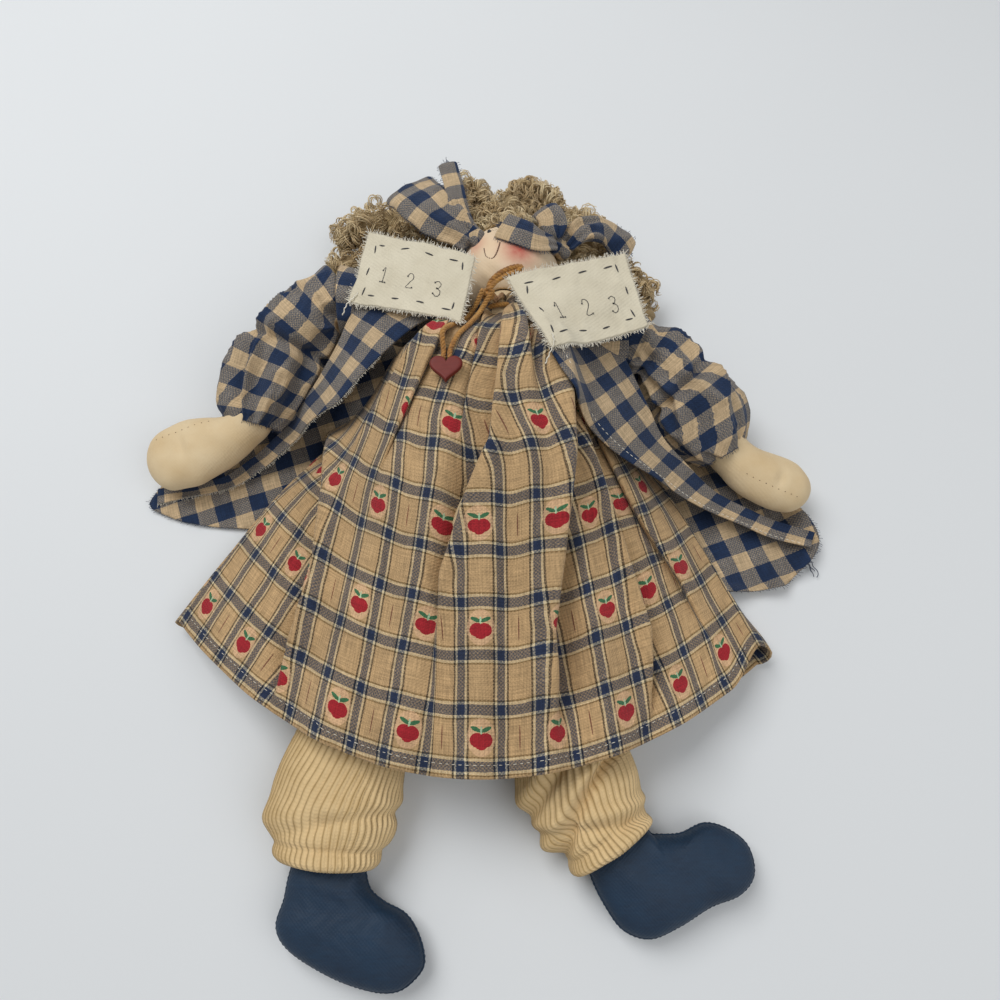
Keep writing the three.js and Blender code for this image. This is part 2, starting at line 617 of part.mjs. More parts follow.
// Twine round the neck, its knot and bow on the chest, and its two hanging ends
function tube(path, diameter, sides = 8, steps = 16) {
  const curve = new THREE.CatmullRomCurve3(path.map((p) => new THREE.Vector3(...p)), false, 'centripetal');
  const section = new THREE.Shape();
  for (let i = 0; i < sides; i += 1) {
    const angle = (2 * Math.PI * i) / sides;
    const point = [diameter / 2 * Math.cos(angle), diameter / 2 * Math.sin(angle)];
    if (i === 0) section.moveTo(...point);
    else section.lineTo(...point);
  }
  return solidOf(new THREE.ExtrudeGeometry(section, { steps, extrudePath: curve, bevelEnabled: false }));
}
function neckTwine() {
  const ring = new THREE.TorusGeometry(neckRadius + gap + twineDiameter / 2, twineDiameter / 2, 6, 24);
  ring.rotateX(Math.PI / 2);
  ring.translate(neckPivot.x, dressNeckY + gap + twineDiameter / 2, neckPivot.z);
  return solidOf(ring);
}

function heartGeometry() {
  const w = heartWidth / 2;
  const heart = new THREE.Shape();
  heart.moveTo(0, w * 0.55);
  heart.bezierCurveTo(w * 0.25, w * 1.1, w, w * 1.05, w, w * 0.35);
  heart.bezierCurveTo(w, -w * 0.3, w * 0.3, -w * 0.7, 0, -w * 1.15);
  heart.bezierCurveTo(-w * 0.3, -w * 0.7, -w, -w * 0.3, -w, w * 0.35);
  heart.bezierCurveTo(-w, w * 1.05, -w * 0.25, w * 1.1, 0, w * 0.55);
  const round = heartThickness * 0.3;
  const geometry = new THREE.ExtrudeGeometry(heart, {
    depth: heartThickness - 2 * round, curveSegments: 6,
    bevelEnabled: true, bevelThickness: round, bevelSize: round, bevelOffset: -round, bevelSegments: 2,
  });
  geometry.translate(0, 0, round);
  return geometry;
}

// The knot lies against the ring of twine, and its ends run down over the smock
const ringReach = neckRadius + gap + twineDiameter;
const knotAngle = THREE.MathUtils.degToRad(115);
const knotAway = ringReach + gap + knotRadius;
const knotCentre = new THREE.Vector3(
  neckPivot.x + knotAway * Math.cos(knotAngle), dressNeckY + gap + knotRadius,
    neckPivot.z + knotAway * Math.sin(knotAngle));
const overSmock = (x, y, lift) => [x, y, overDress(x, y, twineDiameter / 2) + lift];
const twineLift = twineDiameter / 2 + gap;
const heartLies = overDress(heartX, heartY, heartWidth * 0.4) + gap;
const twineTail = (side, middles) => tube([
  [knotCentre.x + side * 2.5, knotCentre.y - 0.5, knotCentre.z + knotRadius + twineLift],
  ...middles.map(([x, y]) => overSmock(x, y, twineLift)),
  [heartX + side * twineDiameter * 0.55, heartY + heartWidth * 0.75, heartLies + heartThickness / 2],
  [heartX + side * twineDiameter * 0.55, heartY + heartWidth * 0.45 + gap, heartLies + heartThickness / 2],
], twineDiameter);
const twineTailLeft = () => twineTail(-1, [[-5, 101], [-12, 90], [-17, 80]]);
const twineTailRight = () => twineTail(1, [[1, 101], [-4, 90], [-10, 80]]);
const twineBowLoop = () => tube([
  [knotCentre.x + knotRadius + twineLift, knotCentre.y, knotCentre.z + 3], [13, 113, 85.2], [17, 119, 87.7],
  [17, 124, 87.7], [12, 124, 88], [9, 119, 86], [6, 114, 81]], twineDiameter, 6, 12);

// Finishes
const finish = (color, roughness = 0.9) => new THREE.MeshStandardMaterial({ color, roughness,
  metalness: 0 });
const muslin = finish('#d8bf9c');
const faceMuslin = finish('#ead5bb');
const wool = finish('#a8977a', 1);
const plaid = finish('#cdb48a');
const check = finish('#46506a');
const knit = finish('#dcc18a');
const bootPaint = finish('#24384d', 0.55);
const collarMuslin = finish('#e9e2d2');
const jute = finish('#a9762f');
const heartWood = finish('#6b1f28', 0.5);
const blackThread = finish('#17140f', 0.6);
const brownThread = finish('#6a4a33');

const doll = new THREE.Group();
function place(name, shape, material, parent = doll) {
  const geometry = shape instanceof THREE.BufferGeometry ? shape : geometryOf(shape);
  const mesh = new THREE.Mesh(geometry, material);
  mesh.name = name;
  parent.add(mesh);
  return mesh;
}

// Body and clothes
place('torso', torsoShape(), muslin);
place('dress_bodice', dressBodice, plaid);
place('dress_hip_band', dressHipBand, plaid);
place('dress_skirt', dressSkirt, plaid);
place('jacket_back', jacketBack(), check);

const dressCutter = dressOutside(gap);
place('jacket_front_left', trimmed(jacketFrontLeft(), dressCutter), check);
place('jacket_front_right', trimmed(jacketFrontRight(), dressCutter), check);
place('collar_left', collarLeft(), collarMuslin);
place('collar_right', collarRight(), collarMuslin);

const frontCutters = [dressCutter, jacketFrontLeft(gap), jacketFrontRight(gap)];
const swingRoom = (front, shoulder) => [1.5, 3, 4.5, 6, 8].map((degrees) => front
  .translate([0, -shoulder.y, -shoulder.z]).rotate([degrees, 0, 0]).translate([0, shoulder.y, shoulder.z]));
const padCutters = [...frontCutters, collarLeft(gap), collarRight(gap)];
place('jacket_shoulder_left', trimmed(shoulderPad(leftShoulder, [-38, 116, 44]), ...padCutters), check);
place('jacket_shoulder_right', trimmed(shoulderPad(rightShoulder, [46, 100, 44]), ...padCutters), check);

// Arms and sleeves
const leftArm = arm(leftShoulder, leftArmPath, leftHandHalfWidth);
const rightArm = arm(rightShoulder, rightArmPath, rightHandHalfWidth);
const leftSleeve = sleeve(
  leftShoulder, [[2, 6, 0], [-16, -7, -4], [-34, -28, -11], [-46, -53, -17], [-50, -68, -21]],
  [[0, 19], [0.3, 24], [0.6, 29], [0.85, 25], [1, 17]],
  [[0, 18], [0.3, 22], [0.6, 24], [0.85, 20], [1, 15]]);
const rightSleeve = sleeve(
  rightShoulder, [[-1, 4, 0], [16, -5, -2], [34, -24, -8], [49, -45, -15], [56, -56, -19]],
  [[0, 17], [0.3, 20], [0.6, 27], [0.85, 25], [1, 16]],
  [[0, 17], [0.3, 20], [0.6, 24], [0.85, 21], [1, 15]]);
place('left_arm', leftArm, muslin);
place('right_arm', rightArm, muslin);
place('left_sleeve', trimmed(
  leftSleeve, sleeveStart(leftShoulder), arm(leftShoulder, leftArmPath, leftHandHalfWidth, gap),
    ...frontCutters,
  ...swingRoom(jacketFrontLeft(gap), leftShoulder)), check);
place('right_sleeve', trimmed(
  rightSleeve, sleeveStart(rightShoulder), arm(rightShoulder, rightArmPath, rightHandHalfWidth, gap),
    ...frontCutters,
  ...swingRoom(jacketFrontRight(gap), rightShoulder)), check);

// Legs, stockings and boots
place('left_leg', trimmed(leg(leftLegPath), ankleRoom(leftAnkle)), muslin);
place('right_leg', trimmed(leg(rightLegPath), ankleRoom(rightAnkle)), muslin);
place('left_stocking', trimmed(stocking(leftLegPath, leftAnkle), ankleRoom(leftAnkle)), knit);
place('right_stocking', trimmed(stocking(rightLegPath, rightAnkle), ankleRoom(rightAnkle)), knit);
const boot = geometryOf(solidOf(bootGeometry()));
place('left_boot', boot, bootPaint).position.copy(leftAnkle);
const rightBoot = place('right_boot', boot, bootPaint);
rightBoot.position.copy(rightAnkle);
rightBoot.rotation.z = THREE.MathUtils.degToRad(rightBootTurn);

// Head, hair, bows and face
const cap = hairCap();
place('head', trimmed(headBall(), socket), faceMuslin);
place('hair_cap', cap, wool);
const taken = [headBall(gap), hairCap(gap)];
for (const [name, path, radius] of lockPlans) {
  place(name, trimmed(lock(roundHead(path), headRadius * radius), ...taken), wool);
  taken.push(lock(roundHead(path), headRadius * radius, gap));
}
for (const [name, path, half, thick] of bowPlans) {
  place(name, trimmed(strip(roundHead(path), half, thick), ...taken), check);
  taken.push(strip(roundHead(path), half, thick, gap));
}
place('eye_left', eye(leftEyePlace), blackThread);
place('eye_right', eye(rightEyePlace), blackThread);
place('nose_stitch', nose(), brownThread);

// Twine and heart
place('neck_twine', neckTwine(), jute);
const heart = place('heart_charm', heartGeometry(), heartWood);
heart.position.set(heartX, heartY, heartLies);
place('twine_knot', ball(knotCentre, knotRadius, 12, 8), jute);
place('twine_bow_loop', twineBowLoop(), jute);
place('twine_tail_left', twineTailLeft(), jute);
place('twine_tail_right', twineTailRight(), jute);

// The origin is under the middle of the doll, on the surface it lies on
doll.updateMatrixWorld(true);
const extent = new THREE.Box3().setFromObject(doll, true);
const middle = extent.getCenter(new THREE.Vector3());
doll.position.set(-middle.x, -middle.y, -extent.min.z);

export default doll;
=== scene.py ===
"""A stuffed cloth rag doll lying on its back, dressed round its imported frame.

Sizes are millimetres in the doll's own drawing, where the head points along +Y and the
floor is z = 0. They become metres in the row's frame as each mesh is made.
"""

from __future__ import annotations

import logging
import math
from dataclasses import dataclass
from enum import Enum
from functools import partialmethod
from typing import Iterable, Sequence

import bpy
import numpy as np
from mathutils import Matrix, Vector
from mathutils.bvhtree import BVHTree


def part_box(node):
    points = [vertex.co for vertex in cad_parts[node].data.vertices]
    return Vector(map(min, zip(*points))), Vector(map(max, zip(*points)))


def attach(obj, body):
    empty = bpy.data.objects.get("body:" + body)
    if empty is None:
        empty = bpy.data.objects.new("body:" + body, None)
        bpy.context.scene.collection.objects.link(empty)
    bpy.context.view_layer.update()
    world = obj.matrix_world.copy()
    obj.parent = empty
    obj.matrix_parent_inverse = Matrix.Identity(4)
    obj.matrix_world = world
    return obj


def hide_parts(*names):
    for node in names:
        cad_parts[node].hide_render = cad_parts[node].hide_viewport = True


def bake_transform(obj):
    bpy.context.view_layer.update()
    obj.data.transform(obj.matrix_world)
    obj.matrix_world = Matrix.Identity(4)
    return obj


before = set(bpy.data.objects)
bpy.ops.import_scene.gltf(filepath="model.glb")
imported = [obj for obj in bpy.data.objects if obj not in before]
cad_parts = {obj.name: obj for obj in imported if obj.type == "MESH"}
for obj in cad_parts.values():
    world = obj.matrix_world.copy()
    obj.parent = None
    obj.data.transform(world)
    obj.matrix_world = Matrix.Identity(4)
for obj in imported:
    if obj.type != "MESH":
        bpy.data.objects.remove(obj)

Array = np.ndarray
Path = Sequence[Sequence[float]]
Stations = Sequence[tuple[float, float]]
Stripes = tuple[tuple[float, str], ...]
Tree, Node = bpy.types.NodeTree, bpy.types.Node
Material, Thing = bpy.types.Material, bpy.types.Object


class Side(Enum):
    """The doll's sides, as the picture shows them."""

    LEFT = -1
    RIGHT = 1

    @property
    def word(self) -> str:
        """Writes the side in small letters."""
        return self.name.lower()


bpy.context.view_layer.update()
LOG = logging.getLogger("rag_doll")
CLOTH_UV = "cloth"
NOISE = "ShaderNodeTexNoise"
GAMMA = 2.2
MM = 0.001
TURN = 2 * math.pi
BACK_HEM_Y = -34.0  # lowest y of the jacket's back in the drawing
SHIFT = np.array([0.0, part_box("jacket_back")[0].y / MM - BACK_HEM_Y, 0.0])
UP = np.array([0.0, 0.0, 1.0])
SKY = 250.0  # above everything
NECK = np.array([13.0, 112.0, 54.0])  # the middle of the ball that the head turns on
NECK_RADIUS = 12.0
HEAD = np.array([15.6, 142.6, 42.0])  # the middle of the head
SHOULDERS = {Side.LEFT: np.array([-78.0, 128, 42]), Side.RIGHT: np.array([79.0, 98, 42])}
HEART = (-15.0, 58.2)  # where the charm lies


# ---- curves and waves


def run_along(points: Array, axis: int = 0) -> Array:
    """Measures how far along its line each point is, in mm."""
    run = np.cumsum(np.linalg.norm(np.diff(points, axis=axis), axis=-1), axis=axis)
    return np.concatenate([0 * run.take([0], axis=axis), run], axis=axis)


def line_length(line: Array) -> float:
    """Measures a curve, in mm."""
    return float(run_along(line)[-1])


def smooth_line(points: Path, count: int) -> Array:
    """Runs a smooth curve through points.

    Args:
        points: the points it passes, in mm.
        count: how many evenly spaced points it gets.

    Returns:
        The curve's points, one in a row.
    """
    given = np.asarray(points, float)
    ends = np.vstack([2 * given[0] - given[1], given, 2 * given[-1] - given[-2]])
    step = np.linspace(0, 1, 24, endpoint=False)[:, None]
    runs = []
    for i in range(len(given) - 1):
        a, b, c, d = ends[i : i + 4]
        runs.append(0.5 * (2 * b + (c - a) * step + (2 * a - 5 * b + 4 * c - d) * step**2
                           + (3 * b - a - 3 * c + d) * step**3))
    fine = np.vstack([*runs, given[-1:]])
    run = run_along(fine)
    places = np.linspace(0, run[-1], count)
    return np.stack([np.interp(places, run, column) for column in fine.T], axis=1)


def smooth_ring(points: Path, count: int) -> Array:
    """Runs a smooth closed curve through points, with its last point left out."""
    return smooth_line([*points, points[0]], count + 1)[:-1]


def profile(stations: Stations, places: Array | float) -> Array:
    """Gives a smooth value between stations.

    Args:
        stations: pairs of place and value.
        places: where the value is wanted.

    Returns:
        The value at each place.
    """
    xs, ys = np.array(stations, float).T
    slopes = np.gradient(ys, xs)
    where = np.clip(np.asarray(places, float), xs[0], xs[-1])
    i = np.clip(np.searchsorted(xs, where, side="right") - 1, 0, len(xs) - 2)
    span = xs[i + 1] - xs[i]
    t = (where - xs[i]) / span
    start = (2 * t**3 - 3 * t**2 + 1) * ys[i] + (t**3 - 2 * t**2 + t) * span * slopes[i]
    return start + (3 * t**2 - 2 * t**3) * ys[i + 1] + (t**3 - t**2) * span * slopes[i + 1]


def smooth_step(value: Array | float, low: float, high: float) -> Array:
    """Rises smoothly from 0 at low to 1 at high."""
    t = np.clip((np.asarray(value, float) - low) / (high - low), 0, 1)
    return t * t * (3 - 2 * t)


def unit(vectors: Array) -> Array:
    """Scales vectors to a length of 1."""
    return vectors / np.maximum(np.linalg.norm(vectors, axis=-1, keepdims=True), 1e-9)

def hump(value: Array | float, centre: Array | float, width: float) -> Array:
    """Rises to 1 at a centre and falls away to both sides."""
    return np.exp(-(((value - centre) / width) ** 2))


def ripples(points: Array, wavelength: float, seed: int, stretch: Sequence[float] = (1, 1, 1)) -> Array:
    """Makes irregular soft waves over points.

    Args:
        points: where they are wanted, in mm.
        wavelength: the usual distance between crests, in mm.
        seed: picks the pattern.
        stretch: how much longer the waves are along x, y and z.

    Returns:
        A height from about -1 to 1 at each point.
    """
    rng = np.random.default_rng(seed)
    scaled = points / np.array(stretch, float)
    scaled = scaled + wavelength * 0.35 * np.sin(scaled[..., [1, 2, 0]] * TURN / (wavelength * 2.3) + seed)
    total = np.zeros(points.shape[:-1])
    for _ in range(7):
        direction = unit(rng.normal(size=3))
        pace = TURN / (wavelength * rng.uniform(0.7, 1.5))
        total += np.sin(scaled @ direction * pace + rng.uniform(0, TURN))
    return total / 3.2


def along_frames(line: Array) -> tuple[Array, Array, Array]:
    """Gives the direction of a curve, and two directions square to it.

    Args:
        line: the curve's points.

    Returns:
        Tangents, sideways directions that stay level, and the directions above them.
    """
    tangent = unit(np.gradient(line, axis=0))
    side = unit(np.cross(tangent, UP))
    return tangent, side, np.cross(side, tangent)


def full_circle(count: int) -> Array:
    """Gives evenly spaced angles all round."""
    return np.linspace(0, TURN, count, endpoint=False)


def rings(line: Array, half_width: Array, half_height: Array, sides: int) -> Array:
    """Puts oval rings along a curve, as rows x sides x 3."""
    _, side, top = along_frames(line)
    angle = full_circle(sides)[None, :, None]
    across = np.cos(angle) * half_width[:, None, None] * side[:, None, :]
    high = np.sin(angle) * half_height[:, None, None] * top[:, None, :]
    return line[:, None, :] + across + high


def round_ends(line: Array, start: float, end: float, least: float = 0.0) -> Array:
    """Gives the share of full size along a line, so that both its ends close in a round."""
    length = line_length(line)
    place = np.linspace(0, length, len(line))
    first, last = np.clip(place / start, 0, 1), np.clip((length - place) / end, 0, 1)
    return np.maximum(np.sqrt(1 - (1 - first) ** 2) * np.sqrt(1 - (1 - last) ** 2), least)


def swollen(points: Array, line: Array, amount: Array) -> Array:
    """Moves rings of points away from the line in their middle."""
    return points + unit(points - line[:, None]) * amount[..., None]


def spread(outline: Array, centre: Array, shares: Array) -> Array:
    """Fills a flat outline with smaller and smaller copies of itself."""
    return centre + (outline[None] - centre) * shares[:, None, None]


def raised(flat: Array, z: Array | float = 0.0) -> Array:
    """Gives flat points a height."""
    return np.concatenate([flat, np.broadcast_to(z, flat.shape[:-1])[..., None]], axis=-1)


# ---- meshes


@dataclass
class Shape:
    """Vertices in mm, faces, and the cloth coordinate of each face's corners."""

    vertices: Array
    faces: list[list[int]]
    corners: list[tuple[float, float]]

    def tree(self) -> BVHTree:
        """Makes a search tree of the faces, to lay other pieces on."""
        return BVHTree.FromPolygons(self.vertices.tolist(), self.faces)


def grid_normals(points: Array, closed: bool) -> Array:
    """Gives the direction square to a grid of points at each point."""
    if closed:
        wide = np.concatenate([points[:, -1:], points, points[:, :1]], axis=1)
        across = wide[:, 2:] - wide[:, :-2]
    else:
        across = np.gradient(points, axis=1)
    return unit(np.cross(across, np.gradient(points, axis=0)))


def cloth_coordinates(points: Array, closed: bool) -> Array:
    """Measures a cloth along its own surface.

    Args:
        points: the grid of its points, rows x columns x 3.
        closed: whether the last column joins the first.

    Returns:
        Millimetres across and along at each point, with one more column where it closes.
    """
    grid = np.concatenate([points, points[:, :1]], axis=1) if closed else points
    u, v = run_along(grid, 1), run_along(grid).mean(axis=1, keepdims=True)
    return np.stack(np.broadcast_arrays(u - u.mean(axis=1, keepdims=True), v), axis=2)


def grid_faces(rows: int, columns: int, closed: bool) -> tuple[Array, Array]:
    """Lists a grid's four-sided faces, and their places in the grid of cloth coordinates."""
    r, c = np.meshgrid(np.arange(rows - 1), np.arange(columns - (not closed)), indexing="ij")

    def corners(width: int, after: Array) -> Array:
        """Lists the four corners of every face."""
        near, far = r * width, (r + 1) * width
        return np.stack([near + c, near + after, far + after, far + c], -1).reshape(-1, 4)

    return corners(columns, (c + 1) % columns), corners(columns + closed, c + 1)


def outward(shape: Shape) -> Shape:
    """Turns a closed shape's faces to point out."""
    fans = [(face[0], face[i], face[i + 1]) for face in shape.faces for i in range(1, len(face) - 1)]
    first, second, third = shape.vertices[np.array(fans).T]
    if (first * np.cross(second, third)).sum() >= 0:
        return shape
    corners: list[tuple[float, float]] = []
    for face in shape.faces:
        start = len(corners)
        corners.extend(reversed(shape.corners[start : start + len(face)]))
    return Shape(shape.vertices, [face[::-1] for face in shape.faces], corners)


def shell(points: Array, thickness: float, closed: bool = False, cloth: Array | None = None) -> Shape:
    """Gives a grid of points a cloth's thickness, half to each side.

    Args:
        points: the middle of the cloth, rows x columns x 3.
        thickness: in mm.
        closed: whether the last column joins the first.
        cloth: cloth coordinates, where they aren't simply measured.

    Returns:
        A closed shape with an edge all round.
    """
    rows, columns = points.shape[:2]
    under = rows * columns
    width = columns + closed
    marks = (cloth_coordinates(points, closed) if cloth is None else cloth).reshape(-1, 2)
    half = grid_normals(points, closed) * (thickness / 2)
    faces, places = grid_faces(rows, columns, closed)
    all_faces, all_places = [faces, faces[:, ::-1] + under], [places, places[:, ::-1]]
    edges = []
    c, r = np.arange(columns - (not closed)), np.arange(rows - 1) * columns
    for row, flip in ((0, False), (rows - 1, True)):
        mark = row * width + c
        edges.append((row * columns + c, row * columns + (c + 1) % columns, mark, mark + 1, flip))
    if not closed:
        for a, flip in ((r, True), (r + columns - 1, False)):
            edges.append((a, a + columns, a, a + columns, flip))
    for a, b, mark_a, mark_b, flip in edges:
        step = -1 if flip else 1
        all_faces.append(np.stack([b, a, a + under, b + under], -1)[:, ::step])
        all_places.append(np.stack([mark_b, mark_a, mark_a, mark_b], -1)[:, ::step])
    vertices = np.concatenate([points + half, points - half]).reshape(-1, 3)
    corners = marks[np.concatenate(all_places).reshape(-1)]
    return outward(Shape(vertices, np.concatenate(all_faces).tolist(), [tuple(c) for c in corners]))


def stuffed(points: Array, cloth: Array | None = None) -> Shape:
    """Closes a tube of rings with a fan at each end.

    Args:
        points: the rings, rows x sides x 3.
        cloth: cloth coordinates, where they aren't simply measured.

    Returns:
        A closed shape.
    """
    rows, columns = points.shape[:2]
    marks = cloth_coordinates(points, True) if cloth is None else cloth
    faces, places = grid_faces(rows, columns, True)
    corners = [tuple(c) for c in marks.reshape(-1, 2)[places.reshape(-1)]]
    all_faces = faces.tolist()
    for pole, row, step in ((rows * columns, 0, -1), (rows * columns + 1, rows - 1, 1)):
        middle = tuple(marks[row].mean(axis=0))
        for c in range(columns):
            start = row * columns
            all_faces.append([pole, *[start + c, start + (c + 1) % columns][::step]])
            corners.extend([middle, *[tuple(marks[row, c]), tuple(marks[row, c + 1])][::step]])
    poles = [points[0].mean(axis=0), points[-1].mean(axis=0)]
    return outward(Shape(np.vstack([points.reshape(-1, 3), poles]), all_faces, corners))


def cushion(top: Array, bottom: Array, cloth: Array | None = None) -> Shape:
    """Closes the space between two flat spreads that meet at their outlines."""
    return stuffed(np.concatenate([top, bottom[::-1]]), cloth)


def joined(first: Shape, second: Shape) -> Shape:
    """Puts two shapes in one."""
    shifted = [[i + len(first.vertices) for i in face] for face in second.faces]
    vertices = np.vstack([first.vertices, second.vertices])
    return Shape(vertices, first.faces + shifted, first.corners + second.corners)


def put_in_scene(name: str, data: bpy.types.ID) -> Thing:
    """Makes an object of its data and puts it in the scene."""
    made = bpy.data.objects.new(name, data)
    bpy.context.scene.collection.objects.link(made)
    return made


def piece(name: str, shape: Shape, material: Material) -> Thing:
    """Makes a Blender object of a shape, in the row's metres.

    Args:
        name: the piece's name.
        shape: the shape, in mm.
        material: its finish.

    Returns:
        The object, smooth shaded, with its cloth coordinates.
    """
    mesh = bpy.data.meshes.new(name)
    mesh.from_pydata(((shape.vertices + SHIFT) * MM).tolist(), [], shape.faces)
    layer = mesh.uv_layers.new(name=CLOTH_UV)
    layer.data.foreach_set("uv", np.array(shape.corners, np.float32).reshape(-1))
    mesh.polygons.foreach_set("use_smooth", [True] * len(mesh.polygons))
    mesh.materials.append(material)
    mesh.update()
    return put_in_scene(name, mesh)


def settle(made: Thing, body: str, slot: str, *stands_for: str, fill: float | None = None) -> Thing:
    """Puts a piece on its body, hides the CAD nodes that it replaces and reports it.

    Args:
        made: the piece.
        body: the CAD body that it moves with, or "hips", where it is left in place with no body.
        slot: the record's material slot; not used.
        stands_for: the CAD nodes that it replaces.
        fill: how firmly it is stuffed, if it is; not used.

    Returns:
        The piece.
    """
    if body == "hips":
        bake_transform(made)
    else:
        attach(made, body)
    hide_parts(*stands_for)
    LOG.info("%s: %d faces on %s", made.name, len(made.data.polygons), body)
    return made


def merge(kept: Thing, other: Thing) -> Thing:
    """Joins another object into one, with its finish."""
    with bpy.context.temp_override(active_object=kept, selected_editable_objects=[kept, other]):
        bpy.ops.object.join()
    return kept


def height_at(tree: BVHTree, x: float, y: float) -> float | None:
    """Finds how high a shape is at a place, or None beside it."""
    hit = tree.ray_cast(Vector((x, y, SKY)), Vector((0, 0, -1)))[0]
    return None if hit is None else hit.z


def resting_height(trees: Iterable[BVHTree], points: Array, reach: float, floor: float = 0.3) -> Array:
    """Finds what lies under points.

    Args:
        trees: search trees of what can be under them.
        points: the points, of which only x and y are read.
        reach: how far round a point is looked, in mm.
        floor: the height where nothing is found.

    Returns:
        The highest surface near each point, in mm.
    """
    flat = points.reshape(-1, points.shape[-1])[:, :2]
    top = np.full(len(flat), floor)
    for tree in trees:
        for dx, dy in ((0, 0), (reach, 0), (-reach, 0), (0, reach), (0, -reach)):
            for i, (x, y) in enumerate(flat):
                top[i] = max(top[i], height_at(tree, x + dx, y + dy) or 0.0)
    return top.reshape(points.shape[:-1])


def drape(points: Array, support: Array, rounds: int, sag: float) -> Array:
    """Lets a sheet of cloth down on what is under it.

    Args:
        points: the sheet's grid, above its support.
        support: the lowest height that each point may take.
        rounds: how long it settles.
        sag: how far it sinks between supports in each round, in mm.

    Returns:
        The settled grid.
    """
    z = np.maximum(points[..., 2], support)
    for _ in range(rounds):
        wide = np.pad(z, 1, mode="edge")
        mean = (wide[2:, 1:-1] + wide[:-2, 1:-1] + wide[1:-1, 2:] + wide[1:-1, :-2]) / 4
        z = np.maximum(support, mean - sag)
    return raised(points[..., :2], z)


# ---- node trees


class Field:
    """What a node puts out over a surface, so that a pattern can be written as a formula."""

    def __init__(self, node: Node, output: int | str = 0) -> None:
        """Holds a node and the output that is meant."""
        self.node, self.output = node, output

    def other(self, output: int | str) -> Field:
        """Gives another output of the same node."""
        return Field(self.node, output)

    def take(self, operation: str, *others: Field | float) -> Field:
        """Works out an operation of this number and others."""
        return add(self.node.id_data, "ShaderNodeMath", [self, *others], operation=operation)

    def kept(self, low: float, high: float) -> Field:
        """Keeps it between two numbers."""
        return self.take("MINIMUM", high).take("MAXIMUM", low)

    def reach(self, other: Field) -> Field:
        """Gives the distance of two numbers square to each other."""
        return (self * self + other * other).take("SQRT")

    __add__ = partialmethod(take, "ADD")
    __sub__ = partialmethod(take, "SUBTRACT")
    __mul__ = partialmethod(take, "MULTIPLY")
    __truediv__ = partialmethod(take, "DIVIDE")
    __lt__ = partialmethod(take, "LESS_THAN")


def add(tree: Tree, kind: str, inputs: dict | Sequence = (), output: int | str = 0, **settings) -> Field:
    """Adds a node.

    Args:
        tree: the tree that it goes in.
        kind: the node's type.
        inputs: a field or a value for each input, by its name or number.
        output: the output that is wanted, by its name or number.
        settings: the node's own settings.

    Returns:
        The node's output.
    """
    node = tree.nodes.new(kind)
    for key, value in settings.items():
        setattr(node, key, value)
    for key, value in inputs.items() if isinstance(inputs, dict) else enumerate(inputs):
        if isinstance(value, Field):
            tree.links.new(value.node.outputs[value.output], node.inputs[key])
        else:
            node.inputs[key].default_value = value
    return Field(node, output)


def layered(tree: Tree, colour: Field | tuple, *layers: tuple[Field | float, Field | tuple]) -> Field:
    """Lays more colours over a colour, each as strongly as its amount says."""
    for amount, tint in layers:
        colour = add(tree, "ShaderNodeMix", {0: amount, 6: colour, 7: tint}, 2, data_type="RGBA")
    return colour


def crossing(u: Field, v: Field, thread: float) -> Field:
    """Gives the ups and downs of a plain weave."""
    pace = math.pi / thread
    return (u * pace).take("SINE") * (v * pace).take("SINE")


def linear(colour: str) -> tuple[float, float, float, float]:
    """Turns an sRGB hex colour to linear."""
    parts = [int(colour[i : i + 2], 16) / 255 for i in (1, 3, 5)]
    return (*[c / 12.92 if c <= 0.04045 else ((c + 0.055) / 1.055) ** 2.4 for c in parts], 1.0)


def perceived(colour: str) -> tuple[float, float, float, float]:
    """Gives a hex colour in the perceived steps that threads are mixed in."""
    return (*[c ** (1 / GAMMA) for c in linear(colour)[:3]], 1.0)


@dataclass(frozen=True)
class Look:
    """What a finish shows: its colour, its relief and how it takes the light."""

    colour: Field
    roughness: float
    height: Field | None = None
    bump: float = 0.5
    relief: float = 0.0004  # m
    sheen: float = 0.0
    specular: float = 0.5


@dataclass(frozen=True)
class Finish:
    """A finish: each kind works out its look, and its material is made of that."""

    title: str

    def look(self, tree: Tree) -> Look:
        """Builds the nodes of its colour and its relief."""
        raise NotImplementedError

    def build(self) -> Material:
        """Makes the material."""
        material = bpy.data.materials.new(self.title)
        material.use_nodes = True
        tree = material.node_tree
        tree.nodes.clear()
        look = self.look(tree)
        inputs = {"Base Color": look.colour, "Roughness": look.roughness, "Sheen Weight": look.sheen,
                  "Specular IOR Level": look.specular}
        if look.height is not None:
            relief = {"Height": look.height, "Strength": look.bump, "Distance": look.relief}
            inputs["Normal"] = add(tree, "ShaderNodeBump", relief)
        shader = add(tree, "ShaderNodeBsdfPrincipled", inputs)
        add(tree, "ShaderNodeOutputMaterial", {"Surface": shader})
        return material


